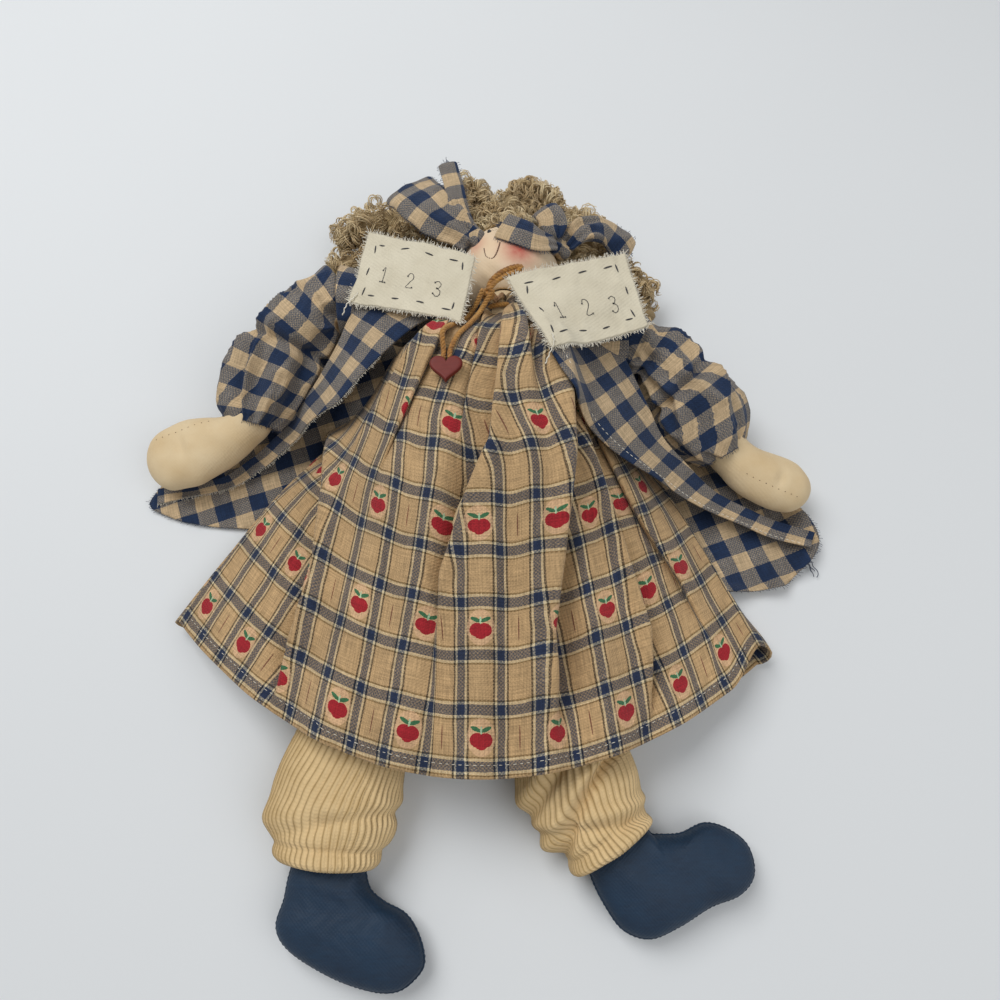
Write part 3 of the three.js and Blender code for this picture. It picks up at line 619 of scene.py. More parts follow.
@dataclass(frozen=True)
class WovenCotton(Finish):
    """Plain-woven cotton, yarn dyed: where warp and weft differ, the eye sees their mix.

    Stripes are pairs of a start in mm and a colour, within one repeat.
    """

    warp: Stripes
    weft: Stripes
    repeat_across: float
    repeat_along: float
    thread: float = 0.85  # mm; the real one is 0.35, too fine to show
    motif: bool = False

    def stripes(self, tree: Tree, place: Field, stops: Stripes, repeat: float) -> Field:
        """Colours the threads of one direction, in perceived steps."""
        threads = add(tree, "ShaderNodeValToRGB", [(place / repeat).take("FRACT")])
        ramp = threads.node.color_ramp
        ramp.interpolation = "CONSTANT"
        for i, (start, colour) in enumerate(stops):
            stop = ramp.elements[i] if i < 2 else ramp.elements.new(0.99)
            stop.position, stop.color = start / repeat, linear(colour)
        return add(tree, "ShaderNodeGamma", [threads, 1 / GAMMA])

    def look(self, tree: Tree) -> Look:
        """Weaves the stripes, prints on them and adds slubs and wear."""
        source = add(tree, "ShaderNodeUVMap", uv_map=CLOTH_UV)
        u = add(tree, "ShaderNodeSeparateXYZ", [source])
        v = u.other(1)
        drift, ragged, wear = [add(tree, NOISE, {"Vector": source, "Scale": scale, "Detail": detail})
                               for scale, detail in ((0.06, 2), (1.1, 1), (0.03, 3))]
        speckle, slub_up, slub_across = [
            add(tree, NOISE, {"Vector": add(tree, "ShaderNodeCombineXYZ", [u * wide, v * high, far]),
                              "Scale": 1.0, "Detail": detail})
            for wide, high, far, detail in ((1.9, 1.9, 0.0, 2), (1.5, 0.09, 0.0, 3), (0.09, 1.5, 7.0, 3))]
        shift, speckle = (drift - 0.5) * 1.6 + (ragged - 0.5) * 0.35, speckle - 0.5
        warp = self.stripes(tree, u + shift, self.warp, self.repeat_across)
        weft = self.stripes(tree, v + shift, self.weft, self.repeat_along)
        over = crossing(u, v, self.thread)
        share = over * 0.2 + speckle * 1.1 + 0.5
        colour = layered(tree, warp, (share.kept(0.15, 0.85), weft))
        if self.motif:
            colour = self.printed(tree, colour, u, v, speckle)
        slub = (slub_up + slub_across) * 0.5
        tone = (slub - 0.5) * 0.95 + (wear - 0.5) * 0.22 + 1.0
        shade = add(tree, "ShaderNodeCombineColor", [tone, tone, tone])
        colour = add(tree, "ShaderNodeMix", {0: 1.0, 6: colour, 7: shade}, 2, data_type="RGBA", blend_type="MULTIPLY")
        return Look(add(tree, "ShaderNodeGamma", [colour, GAMMA]), 0.92, over * 0.35 + slub * 1.6 + speckle * 0.6,
                    0.55, sheen=0.12, specular=0.25)

    def printed(self, tree: Tree, colour: Field, u: Field, v: Field, ragged: Field) -> Field:
        """Adds a small round red fruit in every other cell, and a thin tick in the next."""
        wide, high = 2 * self.repeat_across, 2 * self.repeat_along

        def local(place: Field, repeat: float, start: float) -> Field:
            """Measures from the middle of each motif."""
            return ((place / repeat + (0.5 - start)).take("FRACT") - 0.5) * repeat

        x, y = local(u + ragged * 0.7, wide, 0.0), local(v + ragged * 0.7, high, 0.0)
        mirror = x.take("ABSOLUTE")
        paper = ((mirror / 6.0).reach((y - 0.6) / 8.2) < 1.0) * 0.5
        lobes, base = (mirror - 1.75).reach(y + 0.6) - 3.1, mirror.reach(y + 2.1) - 2.75
        leaf = ((mirror - 2.1) / 2.3).reach((y - 4.0 - (mirror - 2.1) * 0.4) / 1.0) < 1.0
        stem = (mirror / 0.42).reach((y - 3.6) / 1.7) < 1.0
        beside = local(u + ragged * 0.3, wide, 0.5).take("ABSOLUTE")
        tick = ((beside / 0.3).reach(y / 5.5) < 1.0) * 0.7
        red = lobes.take("MINIMUM", base) < 0.0
        inks = (paper, "#e2b894"), (red, "#9c232b"), (leaf, "#3d6a48"), (stem, "#a9c4a0"), (tick, "#5d2f26")
        return layered(tree, colour, *((amount, perceived(ink)) for amount, ink in inks))


@dataclass(frozen=True)
class PlainCloth(Finish):
    """Plain cloth in one colour with the weave, mottling and rubbed tints that it shows."""

    colour: str
    shade: str
    thread: float = 0.9  # mm; finer in the real cloth
    roughness: float = 0.9
    bump: float = 0.35
    tints: tuple[tuple[tuple[float, float, float], float, float, str], ...] = ()

    def look(self, tree: Tree) -> Look:
        """Mottles the cloth and rubs each tint in round its centre."""
        source = add(tree, "ShaderNodeTexCoord", output="Object")
        mottled, rubbing, fine = [add(tree, NOISE, {"Vector": source, "Scale": scale, "Detail": detail})
                                  for scale, detail in ((70.0, 4), (420.0, 3), (1 / (self.thread * 1.6 * MM), 2))]
        colour = layered(tree, linear(self.colour), ((mottled - 0.5) * 1.8 + 0.4, linear(self.shade)))
        for centre, radius, strength, tint in self.tints:
            spot = tuple((np.array(centre) + SHIFT) * MM)
            near = add(tree, "ShaderNodeVectorMath", [source, spot], "Value", operation="DISTANCE") / (radius * MM)
            rubbed = (near * near * -1.0).take("EXPONENT") * strength * (rubbing * 0.5 + 0.75)
            colour = layered(tree, colour, (rubbed.take("MINIMUM", 1.0), linear(tint)))
        x = add(tree, "ShaderNodeSeparateXYZ", [source])
        height = crossing(x, x.other(1), self.thread * MM) * 0.3 + fine * 1.2 + mottled
        return Look(colour, self.roughness, height, self.bump, sheen=0.1, specular=0.3)


@dataclass(frozen=True)
class RibbedKnit(Finish):
    """Cotton knit whose ribs stand up in lines, with painted shade darkening the grooves between them, and small
    slanted loops.
    """

    rib: str
    # the second colour is painted shade for the grooves, not a second yarn
    groove_shade: str
    loop: float = 1.5  # mm from loop to loop along a rib

    def look(self, tree: Tree) -> Look:
        """Knits ribs across and loops along them."""
        u = add(tree, "ShaderNodeSeparateXYZ", [add(tree, "ShaderNodeUVMap", uv_map=CLOTH_UV)])
        across = (u.take("FRACT") - 0.5).take("ABSOLUTE") * 2.0
        high = (across * (math.pi / 2)).take("COSINE").take("POWER", 0.5)
        loops = ((u.other(1) + across * 0.8) * (TURN / self.loop)).take("SINE") * high
        place = add(tree, "ShaderNodeTexCoord", output="Object")
        uneven = add(tree, NOISE, {"Vector": place, "Scale": 160.0, "Detail": 3}) - 0.5
        share = (high + loops * 0.035 + uneven * 0.6).kept(0.0, 1.0)
        # the groove colour is painted shade: the knit is one cream, darker only where the ribs part
        colour = layered(tree, linear(self.groove_shade), (share, linear(self.rib)))
        return Look(colour, 0.92, high * 1.6 + loops * 0.12 + uneven, 0.7, 0.0006, 0.1, 0.25)


@dataclass(frozen=True)
class Fibre(Finish):
    """Spun or curled fibre: each strand catches the light along its length."""

    colours: tuple[str, str, str]  # dark, middle and light
    grain: float = 2.2  # mm between light and dark strands
    roughness: float = 0.8

    def look(self, tree: Tree) -> Look:
        """Varies the colour from strand to strand."""
        source = add(tree, "ShaderNodeTexCoord", output="Object")
        strands, drift, fine = [add(tree, NOISE, {"Vector": source, "Scale": scale, "Detail": detail})
                                for scale, detail in ((1 / (self.grain * 2 * MM), 3), (45.0, 2), (2600.0, 2))]
        dark, middle, light = [linear(c) for c in self.colours]
        colour = layered(tree, dark, ((strands - 0.32) * 2.6, middle), ((drift - 0.42) * 2.2, light))
        return Look(colour, self.roughness, fine, 0.5, 0.0003, 0.2)


@dataclass(frozen=True)
class BrushedPaint(Finish):
    """Paint brushed on cloth or wood: it fills the weave, and wears at the edges."""

    colour: str
    worn: str
    roughness: float = 0.62
    weave: float = 0.9  # mm, drawn coarser than it is
    bump: float = 0.4

    def look(self, tree: Tree) -> Look:
        """Brushes the paint along x, over the weave."""
        source = add(tree, "ShaderNodeTexCoord", output="Object")
        x = add(tree, "ShaderNodeSeparateXYZ", [source])
        y = x.other(1)
        strokes = add(tree, "ShaderNodeCombineXYZ", [x * 160.0, y * 700.0])
        brushed, blotch, fine = [add(tree, NOISE, {"Vector": place, "Scale": scale, "Detail": detail})
                                 for place, scale, detail in ((strokes, 1.0, 3), (source, 55.0, 4), (source, 900.0, 2))]
        amount = (brushed - 0.5) * 0.9 + (blotch - 0.5) * 1.3 + 0.35
        height = crossing(x, y, self.weave * MM) * 0.35 + brushed * 0.7 + fine * 0.8
        colour = layered(tree, linear(self.colour), (amount, linear(self.worn)))
        return Look(colour, self.roughness, height, self.bump, specular=0.35)


@dataclass(frozen=True)
class PaperSweep(Finish):
    """Matt pale paper: even and nearly white, so only the doll's shadow shows on it."""

    colour: str
    cloud: str

    def look(self, tree: Tree) -> Look:
        """Clouds the paper a little."""
        source = add(tree, "ShaderNodeTexCoord", output="Object")
        cloud = add(tree, NOISE, {"Vector": source, "Scale": 3.0, "Detail": 2})
        return Look(layered(tree, linear(self.colour), (cloud, linear(self.cloud))), 0.9, specular=0.1)


# ---- geometry nodes


def start_tree(title: str, *sizes: str) -> tuple[Tree, Field, Field]:
    """Starts a Geometry Nodes tree that guide lines, a finish and named sizes go in.

    Args:
        title: the tree's name.
        sizes: its number inputs.

    Returns:
        The tree, its inputs and the guide lines as curves.
    """
    tree = bpy.data.node_groups.new(title, "GeometryNodeTree")
    tree.interface.new_socket("Geometry", in_out="OUTPUT", socket_type="NodeSocketGeometry")
    for name, kind in (("Geometry", "Geometry"), ("Finish", "Material"), *((size, "Float") for size in sizes)):
        tree.interface.new_socket(name, in_out="INPUT", socket_type=f"NodeSocket{kind}")
    given = add(tree, "NodeGroupInput")
    return tree, given, add(tree, "GeometryNodeMeshToCurve", [given.other("Geometry")])


def end_tree(tree: Tree, given: Field, geometry: Field) -> Tree:
    """Ends a tree with real geometry in its finish."""
    real = add(tree, "GeometryNodeRealizeInstances", [geometry])
    dressed = add(tree, "GeometryNodeSetMaterial", {"Geometry": real, "Material": given.other("Finish")})
    add(tree, "NodeGroupOutput", [add(tree, "GeometryNodeSetShadeSmooth", {"Geometry": dressed})])
    return tree


def spun_tree() -> Tree:
    """Builds the tree that turns guide lines into coiled strands.

    Each point of a guide carries the radius of its coil, the turn that it has reached and
    the strand's own radius.
    """
    tree, given, line = start_tree("Coiled strands", "Sides")
    level = add(tree, "GeometryNodeSetCurveNormal", [line], mode="MINIMUM_TWIST")
    turn, coil, thick = [add(tree, "GeometryNodeInputNamedAttribute", {"Name": name}, data_type="FLOAT")
                         for name in ("turn", "coil", "thick")]
    normal, tangent = add(tree, "GeometryNodeInputNormal"), add(tree, "GeometryNodeInputTangent")
    beside = add(tree, "ShaderNodeVectorMath", [tangent, normal], operation="CROSS_PRODUCT")
    out, over = [add(tree, "ShaderNodeVectorMath", {0: way, "Scale": turn.take(wave) * coil}, operation="SCALE")
                 for way, wave in ((normal, "COSINE"), (beside, "SINE"))]
    offset = add(tree, "ShaderNodeVectorMath", [out, over], operation="ADD")
    placed = add(tree, "GeometryNodeSetPosition", {"Geometry": level, "Offset": offset})
    ring = add(tree, "GeometryNodeCurvePrimitiveCircle", {"Resolution": given.other("Sides"), "Radius": 1.0})
    tube = {"Curve": placed, "Profile Curve": ring, "Scale": thick, "Fill Caps": True}
    return end_tree(tree, given, add(tree, "GeometryNodeCurveToMesh", tube))


def stitch_tree() -> Tree:
    """Builds the tree that sews stitches of thread along guide lines."""
    tree, given, line = start_tree("Running stitches", "Spacing", "Length", "Thickness", "Jitter")
    jitter, thick = given.other("Jitter"), given.other("Thickness")
    points = add(tree, "GeometryNodeCurveToPoints", {"Curve": line, "Length": given.other("Spacing")}, mode="LENGTH")
    aligned = add(tree, "FunctionNodeAlignRotationToVector", {"Vector": points.other("Tangent")}, axis="X")
    turned = add(tree, "FunctionNodeRandomValue", {2: jitter * -1.0, 3: jitter, "Seed": 5}, 1, data_type="FLOAT")
    spin = add(tree, "ShaderNodeCombineXYZ", {2: turned})
    rotated = add(tree, "FunctionNodeRotateRotation", {0: aligned, 1: spin}, rotation_space="LOCAL")
    bead = add(tree, "GeometryNodeMeshUVSphere", {"Segments": 8, "Rings": 6, "Radius": 0.5})
    size = add(tree, "ShaderNodeCombineXYZ", [given.other("Length"), thick, thick])
    sewn = {"Points": points, "Instance": bead, "Rotation": rotated, "Scale": size}
    return end_tree(tree, given, add(tree, "GeometryNodeInstanceOnPoints", sewn))


@dataclass
class Strand:
    """One guide line, with what its coil does along it, all in mm."""

    line: Array
    thick: Array | float
    coil: Array | float = 0.0
    pitch: float = 10.0
    phase: Array | float = 0.0


class Workbench:
    """The trees that are shared by everything sewn, spun or curled."""

    def __init__(self) -> None:
        """Builds the trees."""
        self.spun, self.stitched = spun_tree(), stitch_tree()

    @staticmethod
    def made_of(name: str, strands: Sequence[Strand], tree: Tree, material: Material, sizes: dict[str, float]) -> Thing:
        """Runs a tree on guide lines and keeps the result as a plain mesh.

        Args:
            name: the piece's name.
            strands: the guide lines, whose points carry their numbers.
            tree: the tree.
            material: the finish.
            sizes: the tree's named numbers.

        Returns:
            The piece.
        """
        vertices, edges = [], []
        carried: dict[str, list[Array]] = {"turn": [], "coil": [], "thick": []}
        for strand in strands:
            count, start = len(strand.line), len(vertices)
            vertices.extend(((strand.line + SHIFT) * MM).tolist())
            edges.extend((start + i, start + i + 1) for i in range(count - 1))
            carried["turn"].append(strand.phase + run_along(strand.line) * TURN / strand.pitch)
            carried["coil"].append(np.broadcast_to(np.asarray(strand.coil) * MM, count))
            carried["thick"].append(np.broadcast_to(np.asarray(strand.thick) * MM, count))
        mesh = bpy.data.meshes.new("guides")
        mesh.from_pydata(vertices, edges, [])
        for key, values in carried.items():
            layer = mesh.attributes.new(key, "FLOAT", "POINT")
            layer.data.foreach_set("value", np.concatenate(values).astype(np.float32))
        guide = put_in_scene("guides", mesh)
        modifier = guide.modifiers.new("Making", "NODES")
        modifier.node_group = tree
        sockets = {item.name: item.identifier for item in tree.interface.items_tree if item.in_out == "INPUT"}
        for key, value in {"Finish": material, **sizes}.items():
            modifier[sockets[key]] = value
        guide.update_tag()
        graph = bpy.context.evaluated_depsgraph_get()
        graph.update()
        made = bpy.data.meshes.new_from_object(guide.evaluated_get(graph), depsgraph=graph)
        bpy.data.objects.remove(guide)
        made.name = name
        if not made.uv_layers:
            made.uv_layers.new(name=CLOTH_UV)
        return put_in_scene(name, made)

    def strands(self, name: str, strands: Sequence[Strand], material: Material, sides: int) -> Thing:
        """Makes coiled strands."""
        return self.made_of(name, strands, self.spun, material, {"Sides": sides})

    def stitches(self, lines: Sequence[Array], material: Material, spacing: float, length: float, thickness: float,
                 jitter: float) -> Thing:
        """Sews stitches along lines, with sizes in mm."""
        sizes = {"Spacing": spacing * MM, "Length": length * MM, "Thickness": thickness * MM, "Jitter": jitter}
        return self.made_of("stitches", [Strand(line, 1.0) for line in lines], self.stitched, material, sizes)


def fringe(edge: Array, outward_way: Array, length: float, seed: int, spacing: float, thick: float) -> list[Strand]:
    """Gives the loose thread ends along a torn edge.

    Args:
        edge: points along the edge, in mm.
        outward_way: the way out of the cloth at each point.
        length: how long the threads are, in mm.
        seed: picks the pattern.
        spacing: from thread to thread, in mm.
        thick: a thread's radius, in mm.

    Returns:
        A strand for each thread.
    """
    rng = np.random.default_rng(seed)
    count = max(2, int(line_length(edge) / spacing))
    share = np.linspace(-0.35, 1, 7)[:, None]
    threads = []
    for place, way in zip(smooth_line(edge, count), unit(smooth_line(outward_way, count))):
        reach = length * rng.uniform(0.45, 1.15)
        along = unit(np.cross(way, UP)) * rng.normal(0, 0.28)
        lift = UP * rng.normal(0.02, 0.16)
        bend = share**2 * np.sign(share) * (rng.normal(size=3) * 0.22)
        line = place + (way + along + lift) * share * reach + bend * reach
        line[:, 2] = np.maximum(line[:, 2], thick + 0.15)
        threads.append(Strand(line, np.linspace(thick, thick * 0.55, 7), 0.12, 2.5, rng.uniform(0, 6)))
    return threads


# ---- finishes


TAN, NAVY = "#bda583", "#1b2c48"
PLAID_TAN, PLAID_NAVY, BLACK, CREAM, OLIVE = "#b7986f", "#222d45", "#171412", "#cfbf9b", "#614c2c"


class Finishes:
    """Every finish of the doll, each made once."""

    def __init__(self) -> None:
        """Builds the materials."""
        cheeks = (((21.5, 141.5, 70.0), 9.2, 0.9, "#b9554a"), ((-2.5, 148.5, 64.5), 6.4, 0.5, "#cc7a68"))
        # yarn-dyed cotton: flat, matt stripes that go speckled where two colours cross, with slubs
        self.plaid = WovenCotton(
            "plaid cotton", repeat_across=17.7, repeat_along=24.0, motif=True,
            warp=((0, PLAID_TAN), (5.2, BLACK), (6.1, CREAM), (7.1, PLAID_NAVY), (10.6, CREAM), (11.6, BLACK),
                  (12.5, PLAID_TAN)),
            weft=((0, PLAID_TAN), (8.0, OLIVE), (8.8, CREAM), (10.0, PLAID_NAVY), (14.6, CREAM), (15.8, OLIVE),
                  (16.6, PLAID_TAN)),
        ).build()
        # homespun check: equal stripes both ways make solid, mixed and plain squares
        self.check = WovenCotton(
            "checked homespun cotton", repeat_across=19.4, repeat_along=19.4,
            warp=((0, NAVY), (9.7, TAN)), weft=((0, NAVY), (9.7, TAN)),
        ).build()
        # sized muslin: smooth and creamy, the rubbed colour sits in the weave
        self.face = PlainCloth("stuffed muslin face", "#ecd7b9", "#dfc5a0", tints=cheeks, bump=0.25).build()
        # unbleached muslin: a warm flat tone with faint mottling
        self.skin = PlainCloth("stuffed muslin limbs", "#dcc7a2", "#ceb48a", bump=0.25).build()
        # coarse cotton: its threads show and its torn edges are pale
        self.collar = PlainCloth("coarse cotton collar", "#d9d1bb", "#c8bfa8", thread=1.1, bump=0.6).build()
        # mohair-like wool: many fine pale strands, over a darker wool whose colour is painted shade for the gaps
        # between curls
        self.wool = Fibre("curly wool", ("#b69b70", "#dac294", "#efdfb8")).build()
        self.wool_shade_base = Fibre("felted wool under the curls", ("#86704c", "#9c865e", "#b09a70")).build()
        # jute: hard golden fibres with a dry sheen
        self.jute = Fibre("jute twine", ("#754a1b", "#b27c34", "#d5a55a"), grain=0.9, roughness=0.7).build()
        # cotton thread: a soft lustre, too thin for more
        self.black = Fibre("black cotton thread", ("#0c0b0d", "#1a181c", "#2b282c"), roughness=0.6).build()
        self.brown = Fibre("brown cotton thread", ("#452a18", "#5c3820", "#74492c"), roughness=0.6).build()
        self.white = Fibre("white cotton thread", ("#cfc8b6", "#e9e3d3", "#f4f0e4"), roughness=0.6).build()
        self.navy = Fibre("navy cotton yarn", ("#1a2438", "#26344f", "#3d4a62"), roughness=0.75).build()
        # ribbed cotton knit: warm cream, with painted shade darker in its grooves
        self.knit = RibbedKnit("ribbed cotton knit", "#e0c494", "#a5844f").build()
        # latex paint over canvas: it fills the weave and dulls the edges
        self.boot = BrushedPaint("painted canvas boots", "#0c2135", "#143048").build()
        # acrylic paint on wood: nearly smooth, with worn lighter edges
        self.heart = BrushedPaint("painted wood heart", "#5c160f", "#702418", 0.55, weave=3.0, bump=0.12).build()


# ---- the smock


@dataclass
class Crease:
    """A fold line down the smock, where one side of the cloth laps over the other."""

    line: tuple[tuple[float, float], ...]
    low_side: Side
    depth: float
    lip: float
    reach: float = 15.0  # mm that the low side takes to rise again
    hidden: float = 0.0  # mm of cloth in it, where no panel says so

    def place(self, x: Array, y: Array) -> tuple[Array, Array]:
        """Gives how far each point is past the line, and the fold's strength there."""
        (_, low), *_, (_, top) = points = sorted(self.line, key=lambda p: p[1])
        xs, ys = np.array(points, float).T
        strength = smooth_step(y, low - 4, low + 34) * (1 - smooth_step(y, top - 6, top + 12))
        return x - np.interp(y, ys, xs), strength

    def shape(self, x: Array, y: Array) -> tuple[Array, Array]:
        """Gives how far the fold moves each point sideways and up."""
        away, strength = self.place(x, y)
        toward = away * self.low_side.value
        low = 0.5 + 0.5 * np.tanh(toward / 1.3)
        valley = -self.depth * np.exp(-((np.maximum(toward, 0) / self.reach) ** 1.3)) * low
        lip = self.lip * hump(toward, 0, self.reach * 0.7) * (1 - low)
        lap = 0.3 * self.depth * hump(toward, 0, 5.5) * (1 - 2 * low) * self.low_side.value
        return lap * strength, (valley + lip) * strength


@dataclass
class Smock:
    """The gathered plaid smock: one tube of cloth from the neck to the hem."""

    neck_y: float = 112.5
    hem_y: float = -127.0
    hem_rises: tuple[float, float] = (78.0, 58.0)
    neck_half: float = 20.0
    hem_halves: tuple[float, float] = (160.0, 146.0)
    flares: tuple[float, float] = (0.62, 0.72)
    middles: tuple[float, float] = (12.0, 2.0)
    edge_roll: float = 8.0
    thickness: float = 1.0
    flat: tuple[float, float] = (672.0, 238.0)  # mm round the hem, and from neck to hem
    plaid_start: float = 17.0  # mm above the hem
    hem_stitches: float = 6.2  # mm above the hem
    rows: int = 150
    front_columns: int = 236
    back_columns: int = 60
    heights: Stations = ((0, 71), (0.02, 66.5), (0.045, 72), (0.1, 82), (0.25, 86), (0.45, 80), (0.6, 68),
                         (0.8, 57), (1, 53))
    backs: Stations = ((0, 40), (0.06, 14), (0.14, 2.9), (0.2, 2.9), (1, 2.9))
    fullness: Stations = ((0, 2), (0.1, 3.6), (0.3, 2.8), (0.55, 1.9), (1, 2.1))
    shoulder: float = 9.0  # mm that the gathered top stands out at each side
    panels: tuple[float, ...] = (-0.9, -0.25, 0.12, 0.42, 0.66, 0.93)  # their middles, as shares of the half width
    creases: tuple[Crease, ...] = (
        Crease(((-86, 66), (-80, 15), (-81, -22), (-92, -70), (-98, -96)), Side.LEFT, 12.0, 5.0, 13),
        Crease(((14, 104), (11, 60), (7, 22), (-6, -6), (-16, -36), (-19, -70)), Side.LEFT, 10.0, 4.0, 11),
        Crease(((40, 84), (44, 60), (46, 20), (40, -29), (35, -62), (38, -108)), Side.RIGHT, 13.0, 5.5, 14),
        Crease(((50, 50), (69, -9), (83, -58), (82, -104)), Side.RIGHT, 11.0, 5.0, 11),
        Crease(((62, 40), (84, 0), (104, -30), (118, -62)), Side.LEFT, 8.5, 3.5, 8),
        Crease(((-10, 106), (-20, 76), (-40, 34), (-50, 8)), Side.RIGHT, 7.0, 3.0, 8, 9),
        Crease(((3, 106), (0, 74), (-6, 40), (-9, 20)), Side.LEFT, 6.0, 2.5, 7, 8),
        Crease(((22, 106), (25, 74), (29, 44)), Side.RIGHT, 6.5, 2.5, 7, 8),
        Crease(((30, 100), (35, 74), (38, 58)), Side.RIGHT, 5.5, 2.0, 6, 6),
        Crease(((-18, 100), (-38, 74), (-62, 40), (-70, 24)), Side.LEFT, 5.0, 2.5, 8, 6),
    )

    def width(self, t: Array, u: Array) -> Array:
        """Gives the half width at a share of the length."""
        hem, flare = np.where(u < 0, *self.hem_halves), np.where(u < 0, *self.flares)
        return self.neck_half + self.shoulder * hump(t, 0.1, 0.085) + (hem - self.neck_half) * np.maximum(t, 0) ** flare

    def lay(self, t: Array, u: Array) -> tuple[Array, Array]:
        """Gives x and y at a share of the length and of the half width."""
        x = self.middles[0] + (self.middles[1] - self.middles[0]) * t + self.width(t, u) * u
        rise = np.where(u < 0, *self.hem_rises)
        return x, self.neck_y + (self.hem_y + rise * u * u - self.neck_y) * t

    def lowest(self, t: Array) -> Array:
        """Gives the height where the front rolls over to the back."""
        return profile(self.backs, t) + self.edge_roll

    def plain(self, t: Array, u: Array) -> Array:
        """Gives the front's points before any fold."""
        x, y = self.lay(t, u)
        low = self.lowest(t)
        z = low + (profile(self.heights, t) - low) * (1 - np.abs(u) ** profile(self.fullness, t))
        return np.stack([x, y, z], axis=-1)

    def front(self, t: Array, u: Array) -> Array:
        """Gives the front's points with its folds, gathers and curled corner."""
        x, y, z = np.moveaxis(self.plain(t, u), -1, 0).copy()
        spot = np.stack([x, y, 0 * x], axis=-1)
        inner = 1 - u * u
        z += 4.2 * t * inner * np.cos(9 * math.pi * u + 0.6)
        gather = (1 - smooth_step(t, 0.02, 0.3)) * inner**0.5
        z += gather * 1.7 * np.sin(u * 26 + 2.2 * np.sin(u * 5 + 1) + 3 * t)
        slack = smooth_step(t, 0.1, 0.5) * (0.35 + 0.65 * inner)
        z += slack * (1.9 * ripples(spot, 52, 3, (1, 2.4, 1)) + 0.4 * ripples(spot, 21, 8, (1, 1.9, 1)))
        for sideways, rise in [crease.shape(x, y) for crease in self.creases]:
            x, z = x + sideways, z + rise
        curl = smooth_step(u, 0.84, 1.0) * smooth_step(t, 0.84, 1.0)
        return np.stack([x - curl * 5.0, y + curl * 6.0, np.maximum(z, self.lowest(t) - 3.5) + curl * 8.0], axis=-1)

    def cloth(self, t: Array, u: Array) -> tuple[Array, Array]:
        """Measures the front's cloth in panels that keep their threads straight.

        Each panel follows its own middle line down to the hem, and what the next one leaves
        out of sight lies in the crease between them.
        """
        points = self.plain(t, u)
        arc = run_along(points, 1)
        middles = [round((p + 1) / 2 * (self.front_columns - 1)) for p in self.panels]
        offsets = [arc[-1, m] - arc[:, m : m + 1] for m in middles]
        across = arc - arc[-1, self.front_columns // 2] + offsets[0]
        for i, crease in enumerate(self.creases):
            away, strength = crease.place(points[..., 0], points[..., 1])
            past = 0.5 + 0.5 * np.tanh(away)
            if i + 1 < len(offsets):
                across += past * (offsets[i + 1] - offsets[i])
            else:
                across += crease.hidden * strength * (past - 0.5)
        return across, run_along(points[::-1])[::-1]

    def rings(self) -> tuple[Array, Array]:
        """Gives the whole tube's points and cloth coordinates."""
        t = np.linspace(0, 1, self.rows)[:, None] ** 0.9
        u = np.linspace(-1, 1, self.front_columns)[None, :]
        front = self.front(t, u)
        across, rise = self.cloth(t, u)
        x, y = self.lay(t, np.linspace(1, -1, self.back_columns)[None, :] * 0.985)
        waves = 1 + ripples(np.stack([x, y, 0 * x], axis=-1), 40, 12, (1, 2.2, 1))
        back = np.stack([x, y, profile(self.backs, t) + smooth_step(t, 0.2, 0.5) * 0.9 * waves], axis=-1)
        turn_right, turn_left = self.turned(front[:, -1], back[:, 0]), self.turned(back[:, -1], front[:, 0])
        points = np.concatenate([front, turn_right, back, turn_left], axis=1)
        onward = run_along(np.concatenate([points[:, front.shape[1] - 1 :], front[:, :1]], axis=1), 1)[:, 1:]
        share = np.linspace(0, 1, onward.shape[1] + 1)[1:]
        around = rise[:, -1:] + (rise[:, :1] - rise[:, -1:]) * share
        across = np.concatenate([across, across[:, -1:] + onward], axis=1)
        return points, np.stack([across, np.concatenate([rise, around], axis=1) - self.plaid_start], axis=2)

    def turned(self, start: Array, end: Array, steps: int = 6) -> Array:
        """Rolls the cloth round a side, from its front to its back."""
        angle = np.linspace(0, math.pi, steps + 2)[None, 1:-1, None]
        middle, half = (start + end)[:, None] / 2, (start - end)[:, None] / 2
        bulge = np.linalg.norm(half, axis=2, keepdims=True) * 0.8 * np.sign(middle[..., :1] - sum(self.middles) / 2)
        return middle + half * np.cos(angle) + bulge * [1, 0, 0] * np.sin(angle)

    def build(self, bench: Workbench, finishes: Finishes) -> Shape:
        """Makes the smock with its hem stitches.

        Args:
            bench: the shared trees.
            finishes: the materials.

        Returns:
            The smock's shape, for what lies on it.
        """
        points, cloth = self.rings()
        shape = shell(points, self.thickness, closed=True, cloth=cloth)
        rise = cloth[:, : self.front_columns, 1] + self.plaid_start
        row = np.argmin(np.abs(rise - self.hem_stitches), axis=0)
        line = points[row, np.arange(self.front_columns)] + UP * (self.thickness / 2 + 0.05)
        hem = bench.stitches([smooth_line(line[4:-5:3], 220)], finishes.white, 3.4, 2.0, 0.3, 0.05)
        smock = merge(piece("Smock", shape, finishes.plaid), hem)
        settle(smock, "hips", "plaid_cotton", "dress_bodice", "dress_hip_band", "dress_skirt")
        return shape


# ---- jacket, sleeves and collars


